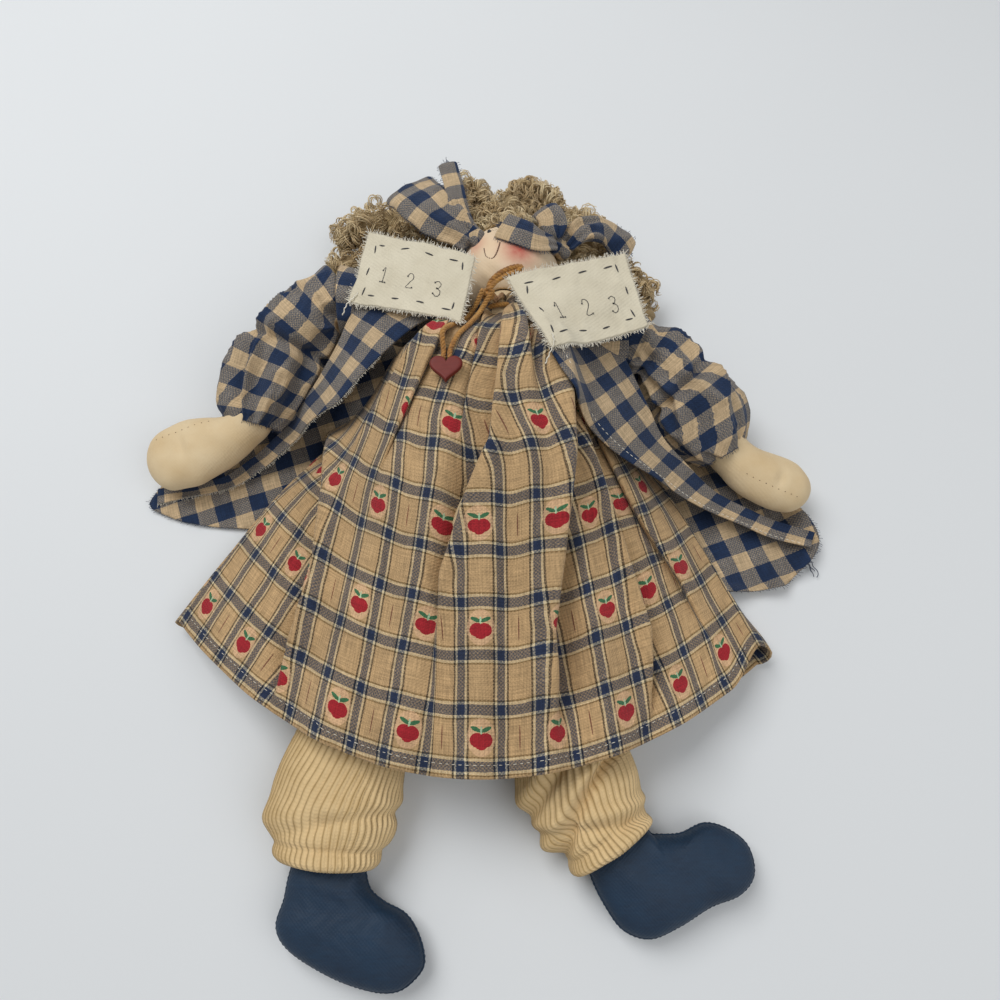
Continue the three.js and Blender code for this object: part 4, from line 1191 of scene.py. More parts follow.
@dataclass
class Jacket:
    """The open checked jacket: its back on the floor, two fronts over the smock, padded shoulders."""

    thickness: float = 1.1
    centre: tuple[float, float] = (8.0, 46.0)
    back: Path = ((-26, 118), (-74, 140), (-100, 112), (-150, 62), (-187, 24), (-176, 12), (-150, 6), (-101, 2),
                  (-40, -16), (40, -30), (100, -34), (154, -31), (171, -24), (187, 2), (150, 44), (108, 92),
                  (80, 112), (44, 108))
    left_inner: Path = ((-17, 101, 72), (-32, 95, 69), (-47, 83, 66), (-59, 72, 62), (-74, 59, 54), (-86, 57, 42),
                        (-101, 52, 24), (-114, 45, 13), (-127, 37, 9), (-141, 29, 6), (-183, 19, 3))
    left_outer: Path = ((-44, 116, 62), (-62, 116, 60), (-70, 108, 57), (-77, 95, 50), (-85, 84, 43), (-94, 74, 34),
                        (-104, 64, 25), (-116, 56, 15), (-132, 45, 8), (-150, 34, 5), (-184, 28, 3))
    right_inner: Path = ((31, 90, 71), (33, 75, 70), (37, 65, 70), (47, 49, 68), (60, 34, 62), (77, 25, 52),
                         (96, 19, 38), (118, 11, 22), (152, 0, 13), (180, -9, 8))
    right_outer: Path = ((50, 102, 62), (70, 94, 58), (78, 82, 54), (84, 70, 50), (90, 58, 46), (97, 46, 40),
                         (108, 36, 32), (128, 22, 19), (156, 10, 12), (184, 0, 8))

    def back_shape(self) -> Shape:
        """Lays the back on the floor, with the waves that show beside the smock."""
        share = np.concatenate([np.linspace(0.02, 0.5, 16), np.linspace(0.53, 1, 50)])
        flat = spread(smooth_ring(self.back, 240), np.array(self.centre), share)
        x, y = flat[..., 0], flat[..., 1]
        right = smooth_step(x, 96, 132) * (1 - smooth_step(y, 20, 60))
        left = smooth_step(-x, 110, 150)
        waves, creases = ripples(raised(flat), 34, 21, (1.0, 1.9, 1)), ripples(raised(flat), 26, 4)
        lift = np.maximum(right * (4.5 + 3.4 * waves) + left * (1.2 + 0.9 * creases), 0)
        lift += smooth_step(share, 0.93, 1.0)[:, None] * (right * 2.6 + 0.3)
        low = 0.25 + lift * 0.92
        grain = np.stack([x * 0.94 + y * 0.34, y * 0.94 - x * 0.34], axis=2)
        marks = np.concatenate([grain, grain[::-1]])
        marks = np.concatenate([marks, marks[:, :1]], axis=1)
        return cushion(raised(flat, low + self.thickness), raised(flat, low), marks)

    def build_back(self, bench: Workbench, finishes: Finishes) -> Shape:
        """Makes the back with its torn edge and loose threads."""
        shape = self.back_shape()
        tree = shape.tree()
        edge = raised(smooth_line([*self.back, self.back[0]], 300))
        for point in edge:
            inside = point[:2] + (self.centre - point[:2]) * 0.012
            point[2] = (height_at(tree, *inside) or 1.4) - 0.5
        torn = self.loose_threads()
        x, y = edge[:, 0], edge[:, 1]
        for shown in ((x < -98) & (y < 40), (x > 92) & (y < 30)):
            torn = fringe(edge[shown], edge[shown] - [*self.centre, 1.3], 1.7, 11, 1.5, 0.16) + torn
        back = merge(piece("Jacket_back", shape, finishes.check), bench.strands("ends", torn, finishes.navy, 4))
        settle(back, "torso", "checked_homespun", "jacket_back")
        return shape

    def front_grid(self, side: Side, trees: Sequence[BVHTree]) -> Array:
        """Drapes a front over the smock and the back."""
        left = side is Side.LEFT
        rows, columns = 150, 56
        inner = smooth_line(self.left_inner if left else self.right_inner, rows)[:, None]
        outer = smooth_line(self.left_outer if left else self.right_outer, rows)[:, None]
        t = np.linspace(0, 1, columns)[:, None]
        grid = inner * (1 - t) + outer * t
        arch = np.sin(math.pi * t.T) * np.clip(np.linalg.norm(outer - inner, axis=2) * 0.05, 0, 2.4)
        settled = smooth_step(np.linspace(0, 1, rows)[:, None], 0.2, 0.6)
        wavy = ripples(grid, 30, 31 + side.value, (1.6, 1.6, 1)) * settled
        support = resting_height(trees, grid, 1.2) + self.thickness / 2 + 0.35
        grid[..., 2] = np.maximum(grid[..., 2] + arch, support)
        grid = drape(grid, support, 90, 0.02)
        edge = hump(t.T, 0, 0.22) * 1.3 * (1 + 0.8 * wavy)
        grid[..., 2] = np.maximum(grid[..., 2] + wavy * 1.3 + edge, support)
        return grid

    def build_front(self, side: Side, trees: Sequence[BVHTree], bench: Workbench, finishes: Finishes) -> Shape:
        """Makes a front: the left one is torn along its inner edge, the right one is stitched."""
        grid = self.front_grid(side, trees)
        shape = shell(grid, self.thickness)
        made = piece(f"Jacket_front_{side.word}", shape, finishes.check)
        if side is Side.LEFT:
            way = unit(grid[30:, 0] - grid[30:, 3])
            trim = bench.strands("ends", fringe(grid[30:, 0], way, 1.7, 3, 0.8, 0.17), finishes.white, 4)
        else:
            seam = grid[6:-4:3, 7] + UP * (self.thickness / 2 + 0.08)
            trim = bench.stitches([smooth_line(seam, 200)], finishes.white, 3.0, 2.0, 0.4, 0.06)
        settle(merge(made, trim), "torso", "checked_homespun", f"jacket_front_{side.word}")
        widths = run_along(grid, 1)[:, -1] * MM
        wide, length = float(widths.max()), line_length(grid[:, 28]) * MM
        return shape

    @staticmethod
    def pad(side: Side, inner: Sequence[float]) -> Shape:
        """Makes a padded shoulder that ends flat beside the sleeve."""
        x, y, z = SHOULDERS[side]
        line = smooth_line([inner, [(inner[0] + x) / 2, (inner[1] + y) / 2, z + 2], [x + side.value * 6, y, z]], 40)
        share, full = np.linspace(0, 1, 40), round_ends(line, 12, 0.01)
        points = rings(line, (15.5 + 5.0 * share) * full, (18.5 + 1.2 * share) * full, 72)
        points = swollen(points, line, 0.7 * ripples(points, 14, 6, (3, 1, 1)))
        points[..., 0] = side.value * np.minimum(side.value * points[..., 0], side.value * x)
        return stuffed(points)

    def build(self, bench: Workbench, finishes: Finishes, smock: Shape) -> list[Shape]:
        """Makes the jacket.

        Args:
            bench: the shared trees.
            finishes: the materials.
            smock: what the fronts lie on.

        Returns:
            The fronts' shapes, for what lies on them.
        """
        trees = [smock.tree(), self.build_back(bench, finishes).tree()]
        fronts = [self.build_front(side, trees, bench, finishes) for side in Side]
        for side, inner in ((Side.LEFT, (-21, 110, 46)), (Side.RIGHT, (46, 100, 44))):
            node = f"jacket_shoulder_{side.word}"
            pad = piece(node.title(), self.pad(side, inner), finishes.check)
            settle(pad, "torso", "checked_homespun", node, fill=0.5)
        return fronts

    @staticmethod
    def loose_threads() -> list[Strand]:
        """Gives the few long threads that hang off the right corner."""
        rng = np.random.default_rng(9)
        threads = []
        for _ in range(4):
            start = np.array([178 + rng.uniform(-3, 3), -14 + rng.uniform(-4, 4), 4.0])
            bend = np.array([start + [2 + 2 * i * rng.uniform(0.5, 1), -2.2 * i + rng.normal(0, 1.0), -0.8 * i]
                             for i in range(4)])
            bend[:, 2] = np.maximum(bend[:, 2], 0.6)
            threads.append(Strand(smooth_line([start, *bend], 20), 0.22, coil=0.2, pitch=4))
        return threads


@dataclass
class Sleeve:
    """A gathered sleeve, round where it turns beside the shoulder."""

    side: Side
    path: Path
    widths: Stations
    heights: Stations
    seed: int
    usual: float = 22.0  # mm; the radius that its folds are drawn on

    def points(self) -> Array:
        """Gives the sleeve's rings, puffed and folded."""
        rows, sides = 150, 144
        line = smooth_line(self.path, rows)
        share, angle = np.linspace(0, 1, rows), full_circle(sides)
        length = line_length(line)
        full = 0.86 + 0.14 * np.sqrt(1 - (1 - np.clip(share * length / 3.0, 0, 1)) ** 2)
        full *= 1 - 0.1 * smooth_step(share, 0.93, 1.0)
        points = rings(line, profile(self.widths, share) * full, profile(self.heights, share) * full, sides)
        share = share[:, None]
        x, y = np.cos(angle) * self.usual, np.sin(angle) * self.usual
        unrolled = np.stack(np.broadcast_arrays(x, y, share * length), axis=2)
        folds = 1.3 - np.abs(ripples(unrolled, 26, self.seed, (1, 1, 2.6))) ** 0.8 * 6.5
        folds -= hump(share, 0.47 + 0.05 * np.sin(angle + 1), 0.04) * 5.0
        folds -= hump(share, 0.2 + 0.04 * np.cos(angle), 0.045) * 3.4
        folds += ripples(unrolled, 11, self.seed + 1, (1, 1, 2.0)) * 0.7
        gathers = smooth_step(share, 0.72, 0.97) * 1.2 * np.sin(angle * 13 + 2 * np.sin(angle * 3))
        points = swollen(points, line, folds * smooth_step(share, 0.0, 0.2) + gathers)
        side = self.side.value
        points[..., 0] = side * np.maximum(side * points[..., 0], side * SHOULDERS[self.side][0] + 0.7)
        points[..., 2] = np.maximum(points[..., 2], 1.8)
        return points

    def build(self, bench: Workbench, finishes: Finishes) -> Shape:
        """Makes the sleeve as a tube of cloth with a torn cuff."""
        points = self.points()
        turned_in = points[::-1][:22]
        centre = turned_in.mean(axis=1, keepdims=True)
        shape = stuffed(np.concatenate([points, centre + (turned_in - centre) * 0.86]))
        edge, ahead = points[-1], unit(points[-1] - points[-6])
        ends = fringe(np.vstack([edge, edge[:1]]), np.vstack([ahead, ahead[:1]]), 1.8, self.seed, 1.3, 0.16)
        made = piece(f"Sleeve_{self.side.word}", shape, finishes.check)
        made = merge(made, bench.strands("ends", ends, finishes.navy, 4))
        settle(made, f"{self.side.word}_arm", "checked_homespun", f"{self.side.word}_sleeve", fill=0.35)
        return shape


SLEEVES = (
    Sleeve(Side.LEFT, ((-76, 134, 42), (-94, 121, 38), (-112, 100, 31), (-124, 75, 25), (-128, 60, 21)),
           ((0, 19), (0.3, 24.5), (0.6, 28), (0.85, 24.5), (1, 17)),
           ((0, 18), (0.3, 22), (0.6, 24), (0.85, 20), (1, 15)), 50),
    Sleeve(Side.RIGHT, ((78, 102, 42), (95, 93, 40), (113, 74, 34), (128, 53, 27), (135, 42, 23)),
           ((0, 17), (0.3, 21), (0.6, 27), (0.85, 25), (1, 16)),
           ((0, 17), (0.3, 20), (0.6, 24), (0.85, 21), (1, 15)), 54),
)


@dataclass
class Collar:
    """A torn square of muslin on a shoulder, with running stitches and three sewn numerals."""

    side: Side
    corners: Path  # top left, top right, bottom left, bottom right
    seed: int
    thickness: float = 1.3
    inset: tuple[float, float] = (0.095, 0.14)  # of the running stitches, as shares of the patch

    def grid(self, trees: Sequence[BVHTree]) -> Array:
        """Lays the patch over the shoulder."""
        rows, columns = 60, 80
        a, b, c, d = np.array(self.corners, float)
        s, t = np.linspace(0, 1, columns)[None, :, None], np.linspace(0, 1, rows)[:, None, None]
        grid = (a * (1 - s) + b * s) * (1 - t) + (c * (1 - s) + d * s) * t
        edge = np.minimum(np.minimum(s, 1 - s) * 6, np.minimum(t, 1 - t) * 5)
        wobble = ripples(grid, 23, self.seed)
        middle = grid[rows // 2, columns // 2, :2]
        grid[..., :2] += (grid[..., :2] - middle) * (wobble * 0.008)[..., None] * (1 - np.clip(edge, 0, 1))
        support = resting_height(trees, grid, 1.5) + self.thickness / 2 + 0.45
        away = grid[..., 0] - NECK[0]
        chest = 83 - np.where(away < 0, 0.0036, 0.0026) * away**2
        grid[..., 2] = np.maximum(chest, support)
        wobble = 0.5 * wobble + 0.25 * ripples(grid, 9, self.seed + 2)
        grid = drape(grid, support, 240, 0.004)
        grid[..., 2] = np.maximum(grid[..., 2] + wobble, support)
        return grid

    def on_patch(self, grid: Array, across: float, down: float, lift: float) -> Array:
        """Finds a place on the patch from its shares across and down."""
        rows, columns = grid.shape[:2]
        r, c = np.clip(down, 0, 1) * (rows - 1), np.clip(across, 0, 1) * (columns - 1)
        i, j = min(int(r), rows - 2), min(int(c), columns - 2)
        fr, fc = r - i, c - j
        top = grid[i, j] * (1 - fc) + grid[i, j + 1] * fc
        low = grid[i + 1, j] * (1 - fc) + grid[i + 1, j + 1] * fc
        return top * (1 - fr) + low * fr + UP * lift

    def build(self, bench: Workbench, finishes: Finishes, trees: Sequence[BVHTree]) -> None:
        """Makes the patch with its fringe, stitches, numerals and loose thread."""
        grid = self.grid(trees)
        made = piece(f"Collar_{self.side.word}", shell(grid, self.thickness), finishes.collar)
        columns = grid.swapaxes(0, 1)
        ends: list[Strand] = []
        for i, (edge, next_in) in enumerate(((grid[0], grid[2]), (grid[-1], grid[-3]),
                                             (columns[0], columns[2]), (columns[-1], columns[-3]))):
            ends += fringe(edge, unit(edge - next_in), 2.5, self.seed + i, 0.55, 0.23)
        tie = [self.on_patch(grid, across, down, lift) + beyond for across, down, lift, beyond in (
            (0.06, 0.86, 1.0, [0, 0, 0]), (0.03, 0.97, 1.6, [0, 0, 0]),
            (0.0, 1.0, 0.6, [-1, -3, 0]), (0.0, 1.0, 0.4, [-3.2, -7.5, -2.5]))]
        ends.append(Strand(smooth_line(tie, 24), 0.34, coil=0.25, pitch=3))
        made = merge(made, bench.strands("ends", ends, finishes.white, 4))
        share = np.linspace(0.06, 0.9, 30)[:, None]
        wave = 0.012 * np.sin(share * 9 + self.seed)
        left, top = self.inset
        outline = np.array([(left, top), (1 - left, top), (1 - left, 1 - top), (left, 1 - top)])
        lift = self.thickness / 2 + 0.05
        lines = [np.array([self.on_patch(grid, *spot, lift) for spot in start + (end - start) * share + wave])
                 for start, end in zip(outline, np.roll(outline, -1, axis=0))]
        made = merge(made, bench.stitches(lines, finishes.black, 12.5, 5.4, 0.95, 0.22))
        made = merge(made, bench.strands("numerals", self.numerals(grid), finishes.black, 5))
        settle(made, f"{self.side.word}_collar", "collar_muslin", f"collar_{self.side.word}")
        wide, high = line_length(grid[30]) * MM, line_length(grid[:, 40]) * MM

    def numerals(self, grid: Array) -> list[Strand]:
        """Sews a one, a two and a three in fine backstitch."""
        ones = [[(-0.35, -0.55), (0, -1), (0, 1)], [(-0.4, 1), (0.4, 1)]]
        twos = [[(-0.5, -0.5), (-0.25, -0.95), (0.3, -0.9), (0.5, -0.4), (0.1, 0.2), (-0.5, 1), (0.55, 0.95)]]
        threes = [[(-0.5, -0.75), (0, -1), (0.5, -0.65), (0.25, -0.15), (-0.05, -0.05)],
                  [(-0.05, -0.05), (0.5, 0.2), (0.5, 0.7), (0, 1), (-0.5, 0.75)]]
        strands = []
        for number, (across, down) in zip((ones, twos, threes), ((0.25, 0.55), (0.5, 0.58), (0.75, 0.62))):
            for stroke in number:
                spots = np.array([self.on_patch(grid, across + x * 0.055, down + y * 0.105, self.thickness / 2 + 0.1)
                                  for x, y in smooth_line(stroke, 16)])
                strands.append(Strand(spots, 0.2, coil=0.12, pitch=1.6))
                strands.extend(Strand(spots[k] + np.outer((0.1, 0.45), UP), 0.42) for k in (0, -1))
        return strands


COLLARS = (
    Collar(Side.LEFT, ((-61, 156, 60), (-2, 127.5, 80), (-70, 114, 60), (-9, 88.5, 80)), 13),
    Collar(Side.RIGHT, ((15, 114, 80), (77.3, 135.5, 58), (36, 68, 80), (87.3, 93, 60)), 23),
)


# ---- head, hair and bows


@dataclass
class Head:
    """The stuffed head with its rubbed cheeks and sewn features."""

    radius: float = 29.0
    play: float = 0.6  # mm between the neck's ball and the hollow round it
    eyes: tuple[tuple[float, float], ...] = ((-10.4, 13.6), (9.2, 12.4))
    nose: Path = ((-4.6, 2.5), (-5.4, -1), (-7, -5), (-9, -6.6), (-12, -4.5), (-13.2, 0.7))

    def on_face(self, *spots: Sequence[float]) -> Array:
        """Finds places on the face from their distances across, up and off it."""
        x, y, lift = np.array(spots, float).T
        reach = self.radius + lift
        share = reach / self.radius
        depth = np.sqrt(np.maximum(reach**2 - (x * share) ** 2 - (y * share) ** 2, 0))
        return HEAD + np.stack([x * share, y * share, depth], axis=1)

    def ball(self) -> Shape:
        """Makes the ball, with the hollow that turns on the neck."""
        polar, angle = np.linspace(0.012, math.pi - 0.012, 90)[:, None], full_circle(120)
        flat = np.stack([np.sin(polar) * np.cos(angle), np.sin(polar) * np.sin(angle)], axis=2)
        way = raised(flat, np.cos(polar))
        points = HEAD + way * (self.radius + 0.25 * ripples(way * self.radius, 17, 40) + 0.1)[..., None]
        away, inward, room = points - NECK, unit(HEAD - NECK), NECK_RADIUS + self.play
        across = away - (away * inward).sum(axis=2, keepdims=True) * inward
        depth = np.sqrt(np.maximum(room**2 - (across**2).sum(axis=2, keepdims=True), 0))
        inside = np.linalg.norm(away, axis=2, keepdims=True) < room
        return stuffed(np.where(inside, NECK + across + inward * depth, points))

    def knot(self, x: float, y: float) -> list[Strand]:
        """Ties an eye: three rounds of thread, one across them and two loose ends."""
        knot = []
        for turn in range(3):
            radius = 0.85 - 0.2 * turn
            spots = [(x + radius * math.cos(a + turn), y + radius * math.sin(a + turn), 0.25 + 0.3 * turn)
                     for a in np.linspace(0, TURN, 16)]
            knot.append(Strand(self.on_face(*spots), 0.42))
        knot.append(Strand(self.on_face((x - 0.5, y, 1.0), (x + 0.5, y + 0.1, 1.0)), 0.5))
        for right, up in ((0.9, 0.7), (1.8, 0.2)):
            knot.append(Strand(self.on_face(*[(x + s * right, y + s * up, 0.12) for s in (0.8, 1.6, 2.4)]), 0.2))
        return knot

    def build(self, bench: Workbench, finishes: Finishes) -> None:
        """Makes the head, its eyes and its nose."""
        settle(piece("Head", self.ball(), finishes.face), "head", "face_muslin", "head", fill=0.9)
        for side, (x, y) in zip(Side, self.eyes):
            eye = bench.strands(f"Eye_{side.word.title()}", self.knot(x, y), finishes.black, 6)
            settle(eye, "head", "black_thread", f"eye_{side.word}")
        line = self.on_face(*raised(smooth_line(self.nose, 40), 0.15))
        nose = bench.strands("Nose_stitch", [Strand(line, 0.34, coil=0.12, pitch=1.4)], finishes.brown, 6)
        settle(nose, "head", "brown_thread", "nose_stitch")


@dataclass
class Hair:
    """Curly wool: a close cap of curls and loose crimped locks round the head."""

    cap_radius: float = 34.0
    cap_strands: int = 800
    scalp: tuple[float, float] = (29.4, 30.6)  # inner and outer radius of the wool's close base
    low: tuple[float, float] = (131.0, 6.5)  # y of the nape and height off the table that no curl starts below
    locks: tuple[tuple[str, Path, float], ...] = (
        ("hair_lock_left_1", ((-14, 172, 38), (-36, 188, 34), (-62, 196, 26), (-92, 188, 16)), 14.0),
        ("hair_lock_left_2", ((-16, 152, 24), (-42, 168, 18), (-68, 174, 15), (-98, 170, 12)), 12.0),
        ("hair_crown_1", ((2, 166, 44), (-16, 186, 50), (-10, 202, 46), (4, 198, 38)), 10.5),
        ("hair_crown_2", ((20, 178, 46), (18, 194, 46), (34, 202, 42), (44, 188, 42)), 10.5),
        ("hair_crown_3", ((42, 168, 38), (58, 182, 34), (64, 194, 26), (50, 202, 18)), 10.5),
        ("hair_lock_right_1", ((48, 150, 36), (64, 154, 34), (84, 158, 26), (104, 150, 17)), 10.0),
        ("hair_lock_right_2", ((42, 136, 20), (62, 140, 15), (86, 142, 12), (106, 138, 11)), 9.5),
    )
    roots: tuple[tuple[str, Path, float], ...] = (  # wool that joins a lock to the scalp
        ("hair_crown_1", ((-7.9, 180.0, 42), (1.5, 185.7, 43), (11.0, 193.0, 43)), 7.0),
        ("hair_crown_2", ((11.0, 189.6, 41), (20.6, 193.1, 42), (32.5, 188.1, 41)), 7.5),
        ("hair_crown_3", ((27.7, 182.5, 39), (39.7, 181.8, 38), (54.4, 182.2, 34)), 7.5),
        ("hair_lock_right_1", ((44.5, 160.7, 30), (57.9, 166.5, 29), (74.5, 178.4, 26)), 9.0),
    )

    @staticmethod
    def ringlet(line: Array, curl: float, pitch: float, fibres: int, rng: np.random.Generator) -> list[Strand]:
        """Curls a bundle of fine fibres round a line, all turning together but none quite alike."""
        count = len(line)
        run = np.linspace(0, line_length(line), count)
        drift = 1.1 * np.sin(run / rng.uniform(7, 12) + rng.uniform(0, 6)) + 0.6 * np.sin(run / 4.1 + rng.uniform(0, 6))
        swell = 1 + 0.3 * np.sin(run / rng.uniform(5, 9) + rng.uniform(0, 6))
        turn = rng.uniform(0, TURN) + drift
        bundle = []
        for _ in range(fibres):
            size = curl * swell * rng.uniform(0.72, 1.2)
            bent = line + rng.normal(size=3) * 0.55
            kept = slice(int(rng.uniform(0, 0.16) * count), count - int(rng.uniform(0, 0.2) * count))
            bent[:, 2] = np.maximum(bent[:, 2], size + 1.0)
            taper = np.sin(np.linspace(0.15, math.pi - 0.2, len(line[kept]))) ** 0.4
            thick = rng.uniform(0.25, 0.42) * taper
            turned = pitch * rng.uniform(0.97, 1.03)
            bundle.append(Strand(bent[kept], thick, size[kept], turned, (turn + rng.normal(0, 0.3))[kept]))
        return bundle

    def curls(self, path: Path, radius: float, seed: int) -> list[Strand]:
        """Fills a lock with ringlets, and with a few loose fibres round them."""
        rng = np.random.default_rng(seed)
        spine = smooth_line(path, 90)
        _, side, top = along_frames(spine)
        share = np.linspace(0, 1, 90)
        belly = np.sqrt(np.clip(share * 5, 0, 1)) * (1 - 0.12 * share) * (1 - smooth_step(share, 0.86, 1.0) * 0.4)
        step = np.linspace(-1, 1, 25)[:, None]
        strands = []
        for i in range(int(7.6 * radius)):
            loose = i % 7 == 0
            at = int(rng.uniform(1, 87))
            reach = radius * max(belly[at], 0.62) * (rng.uniform(0.5, 0.84) + 0.2 * loose)
            turn = rng.uniform(0, TURN)
            out = side[at] * math.cos(turn) + top[at] * math.sin(turn)
            way = unit(np.cross(out, rng.normal(size=3)) + out * rng.normal(0.0, 0.22))
            length = rng.uniform(4.5, 8.5)
            line = spine[at] + out * reach + way * step * length - out * step**2 * length * 0.35
            strands += self.ringlet(line, rng.uniform(1.9, 3.3), rng.uniform(5.0, 7.5), 4 if loose else 7, rng)
        return strands

    @staticmethod
    def core(path: Path, radius: float, seed: int) -> Shape:
        """Makes the dense wool inside a lock, so that nothing shows through it."""
        line = smooth_line(path, 70)
        full = round_ends(line, radius * 0.9, radius * 0.8, 0.06) * radius * 0.5
        points = rings(line, full, full, 60)
        lumps = 1.3 * ripples(points, 7, seed) + 0.9 * ripples(points, 3.4, seed + 9)
        points = swollen(points, line, lumps * full[:, None] / radius)
        points[..., 2] = np.maximum(points[..., 2], 0.5)
        return stuffed(points)

    def cap(self, seed: int) -> list[Strand]:
        """Covers the back and top of the head with close round curls."""
        rng = np.random.default_rng(seed)
        share = np.linspace(-1, 1, 25)[:, None]
        strands: list[Strand] = []
        while len(strands) < self.cap_strands:
            way = unit(rng.normal(size=3))
            out = np.array([0, 3.0, -2.0]) + way * (self.cap_radius - rng.uniform(1.5, 4.0))
            spot = HEAD + out
            in_front = out[2] > 0.84 * out[1] - 3.0  # of the hairline, where the face is bare
            if in_front or spot[1] < self.low[0] or spot[2] < self.low[1]:
                continue
            flat = unit(np.cross(way, rng.normal(size=3)))
            line = spot + flat * share * 7.0 - way * share**2 * 0.8
            line[:, 2] = np.maximum(line[:, 2], 4.6)
            strands += self.ringlet(line, rng.uniform(2.0, 3.2), rng.uniform(5.5, 8.0), 5, rng)
        return strands

    def backing(self) -> Shape:
        """Makes the wool's close base on the scalp, so that no cloth shows between curls."""
        polar, angle = np.linspace(0.03, 1.52, 36)[:, None, None], full_circle(60)[:, None]
        axis, right = unit(np.array([0.0, 0.64, -0.77])), np.array([1.0, 0.0, 0.0])
        around = np.cos(angle) * right + np.sin(angle) * np.cross(axis, right)
        way = np.cos(polar) * axis + np.sin(polar) * around
        inner, outer = self.scalp
        return cushion(HEAD + way * (outer + 0.5 * ripples(way * 30, 7, 3))[..., None], HEAD + way * inner)

    def build(self, bench: Workbench, finishes: Finishes) -> None:
        """Makes the cap and the locks."""
        cap = bench.strands("Hair_cap", self.cap(5), finishes.wool, 3)
        # the scalp's darker wool is painted shade between the curls
        cap = merge(cap, piece("scalp", self.backing(), finishes.wool_shade_base))
        settle(cap, "head", "curly_wool", "hair_cap")
        for seed, (node, path, radius) in enumerate(self.locks):
            runs = [(path, radius)] + [(way, wide) for name, way, wide in self.roots if name == node]
            strands = [strand for k, run in enumerate(runs) for strand in self.curls(*run, 60 + seed + 20 * k)]
            lock = bench.strands(node.title(), strands, finishes.wool, 3)
            for run in runs:
                # the cores' darker wool is painted shade in the gaps between curls
                lock = merge(lock, piece("core", self.core(*run, seed), finishes.wool_shade_base))
            settle(lock, "head", "curly_wool", node)


class Cut(Enum):
    """How a strip of a bow is worked."""

    KNOT = "knot"
    FOLDED = "folded"
    TORN = "torn"


@dataclass
class Ribbon:
    """One part of a torn-cloth bow."""

    node: str
    cut: Cut
    path: Path
    half_width: float
    half_thickness: float
    seed: int
    rows: int = 70

    def grid(self, line: Array) -> Array:
        """Gives the strip's rings: wide, thin and creased where the knot holds it."""
        share = np.linspace(0, 1, self.rows)
        torn, knot = self.cut is Cut.TORN, self.cut is Cut.KNOT
        wide = 0.62 + 0.38 * smooth_step(share, 0.0, 0.4)
        high = 1 + 0 * share if torn else 0.75 + 0.45 * np.sin(share * math.pi)
        if knot:
            wide, high = 1 - 0.22 * np.cos(share * TURN) ** 2, 1 + 0 * share
        ends = round_ends(line, 2.5, 0.4 if torn else 3.0)
        wide, high = wide * self.half_width * np.maximum(ends, 0.25), high * self.half_thickness * np.maximum(ends, 0.3)
        angle = full_circle(56)
        _, side, top = along_frames(line)
        flat = np.sign(np.cos(angle)) * np.abs(np.cos(angle)) ** 0.75
        pleats = np.cos(flat * 7.5 + self.seed) * (1 - smooth_step(share, 0.15, 0.75))[:, None]
        pleats *= min(self.half_thickness * 0.35, 1.1) * (0.9 if knot else 1.0)
        across, up = flat * wide[:, None], np.sin(angle) * high[:, None] + pleats
        points = line[:, None] + side[:, None] * across[..., None] + top[:, None] * up[..., None]
        lift = ripples(points, 15, self.seed) * min(self.half_thickness * 0.3, 1.0)
        return points + UP * lift[..., None]

    def build(self, bench: Workbench, finishes: Finishes) -> None:
        """Makes the part, with loose threads along its cut edges."""
        line = smooth_line(self.path, self.rows)
        points = self.grid(line)
        made = piece(self.node.capitalize(), stuffed(points), finishes.check)
        if self.cut is not Cut.KNOT:
            edge = np.vstack([points[-1], points[-1][:1]])
            ahead = np.tile(unit(line[-1] - line[-4]), (len(edge), 1))
            length, spacing = (3.0, 0.55) if self.cut is Cut.TORN else (1.6, 1.3)
            ends = fringe(edge, ahead, length, self.seed, spacing, 0.24)
            for column in (0, points.shape[1] // 2):
                flank = points[20:, column]
                ends += fringe(flank, unit(flank - line[20:]), 1.5, self.seed + 3, 1.5, 0.2)
            made = merge(made, bench.strands("ends", ends, finishes.navy, 4))
        settle(made, "head", "checked_homespun", self.node)


BOWS = (
    Ribbon("bow_left_knot", Cut.KNOT, ((-13, 154, 55), (-5, 154, 60), (3, 153, 64)), 6, 4.5, 1),
    Ribbon("bow_left_loop", Cut.FOLDED, ((-4, 152, 62), (-18, 163, 66), (-32, 178, 64), (-43, 194, 57)), 15, 4, 2),
    Ribbon("bow_left_tail", Cut.TORN, ((-5, 158, 65), (-12, 172, 69), (-15, 186, 69), (-19, 202, 67)), 5.4, 1.6, 3),
    Ribbon("bow_right_knot", Cut.KNOT, ((37, 154, 59), (44, 154, 55), (50, 153, 50)), 6, 4.5, 4),
    Ribbon("bow_right_loop", Cut.FOLDED, ((47, 155, 54), (59, 166, 55), (73, 170, 48), (87, 161, 40)), 9, 3.6, 5),
    Ribbon("bow_right_fold", Cut.FOLDED, ((41, 155, 60), (40, 166, 64), (35, 175, 62)), 8, 3, 6),
    Ribbon("bow_right_tail", Cut.TORN, ((42, 152, 61), (31, 149, 69.5), (21, 151, 72.5), (11.5, 156, 71)), 8.5, 1.4, 7),
)


# ---- limbs, stockings and boots


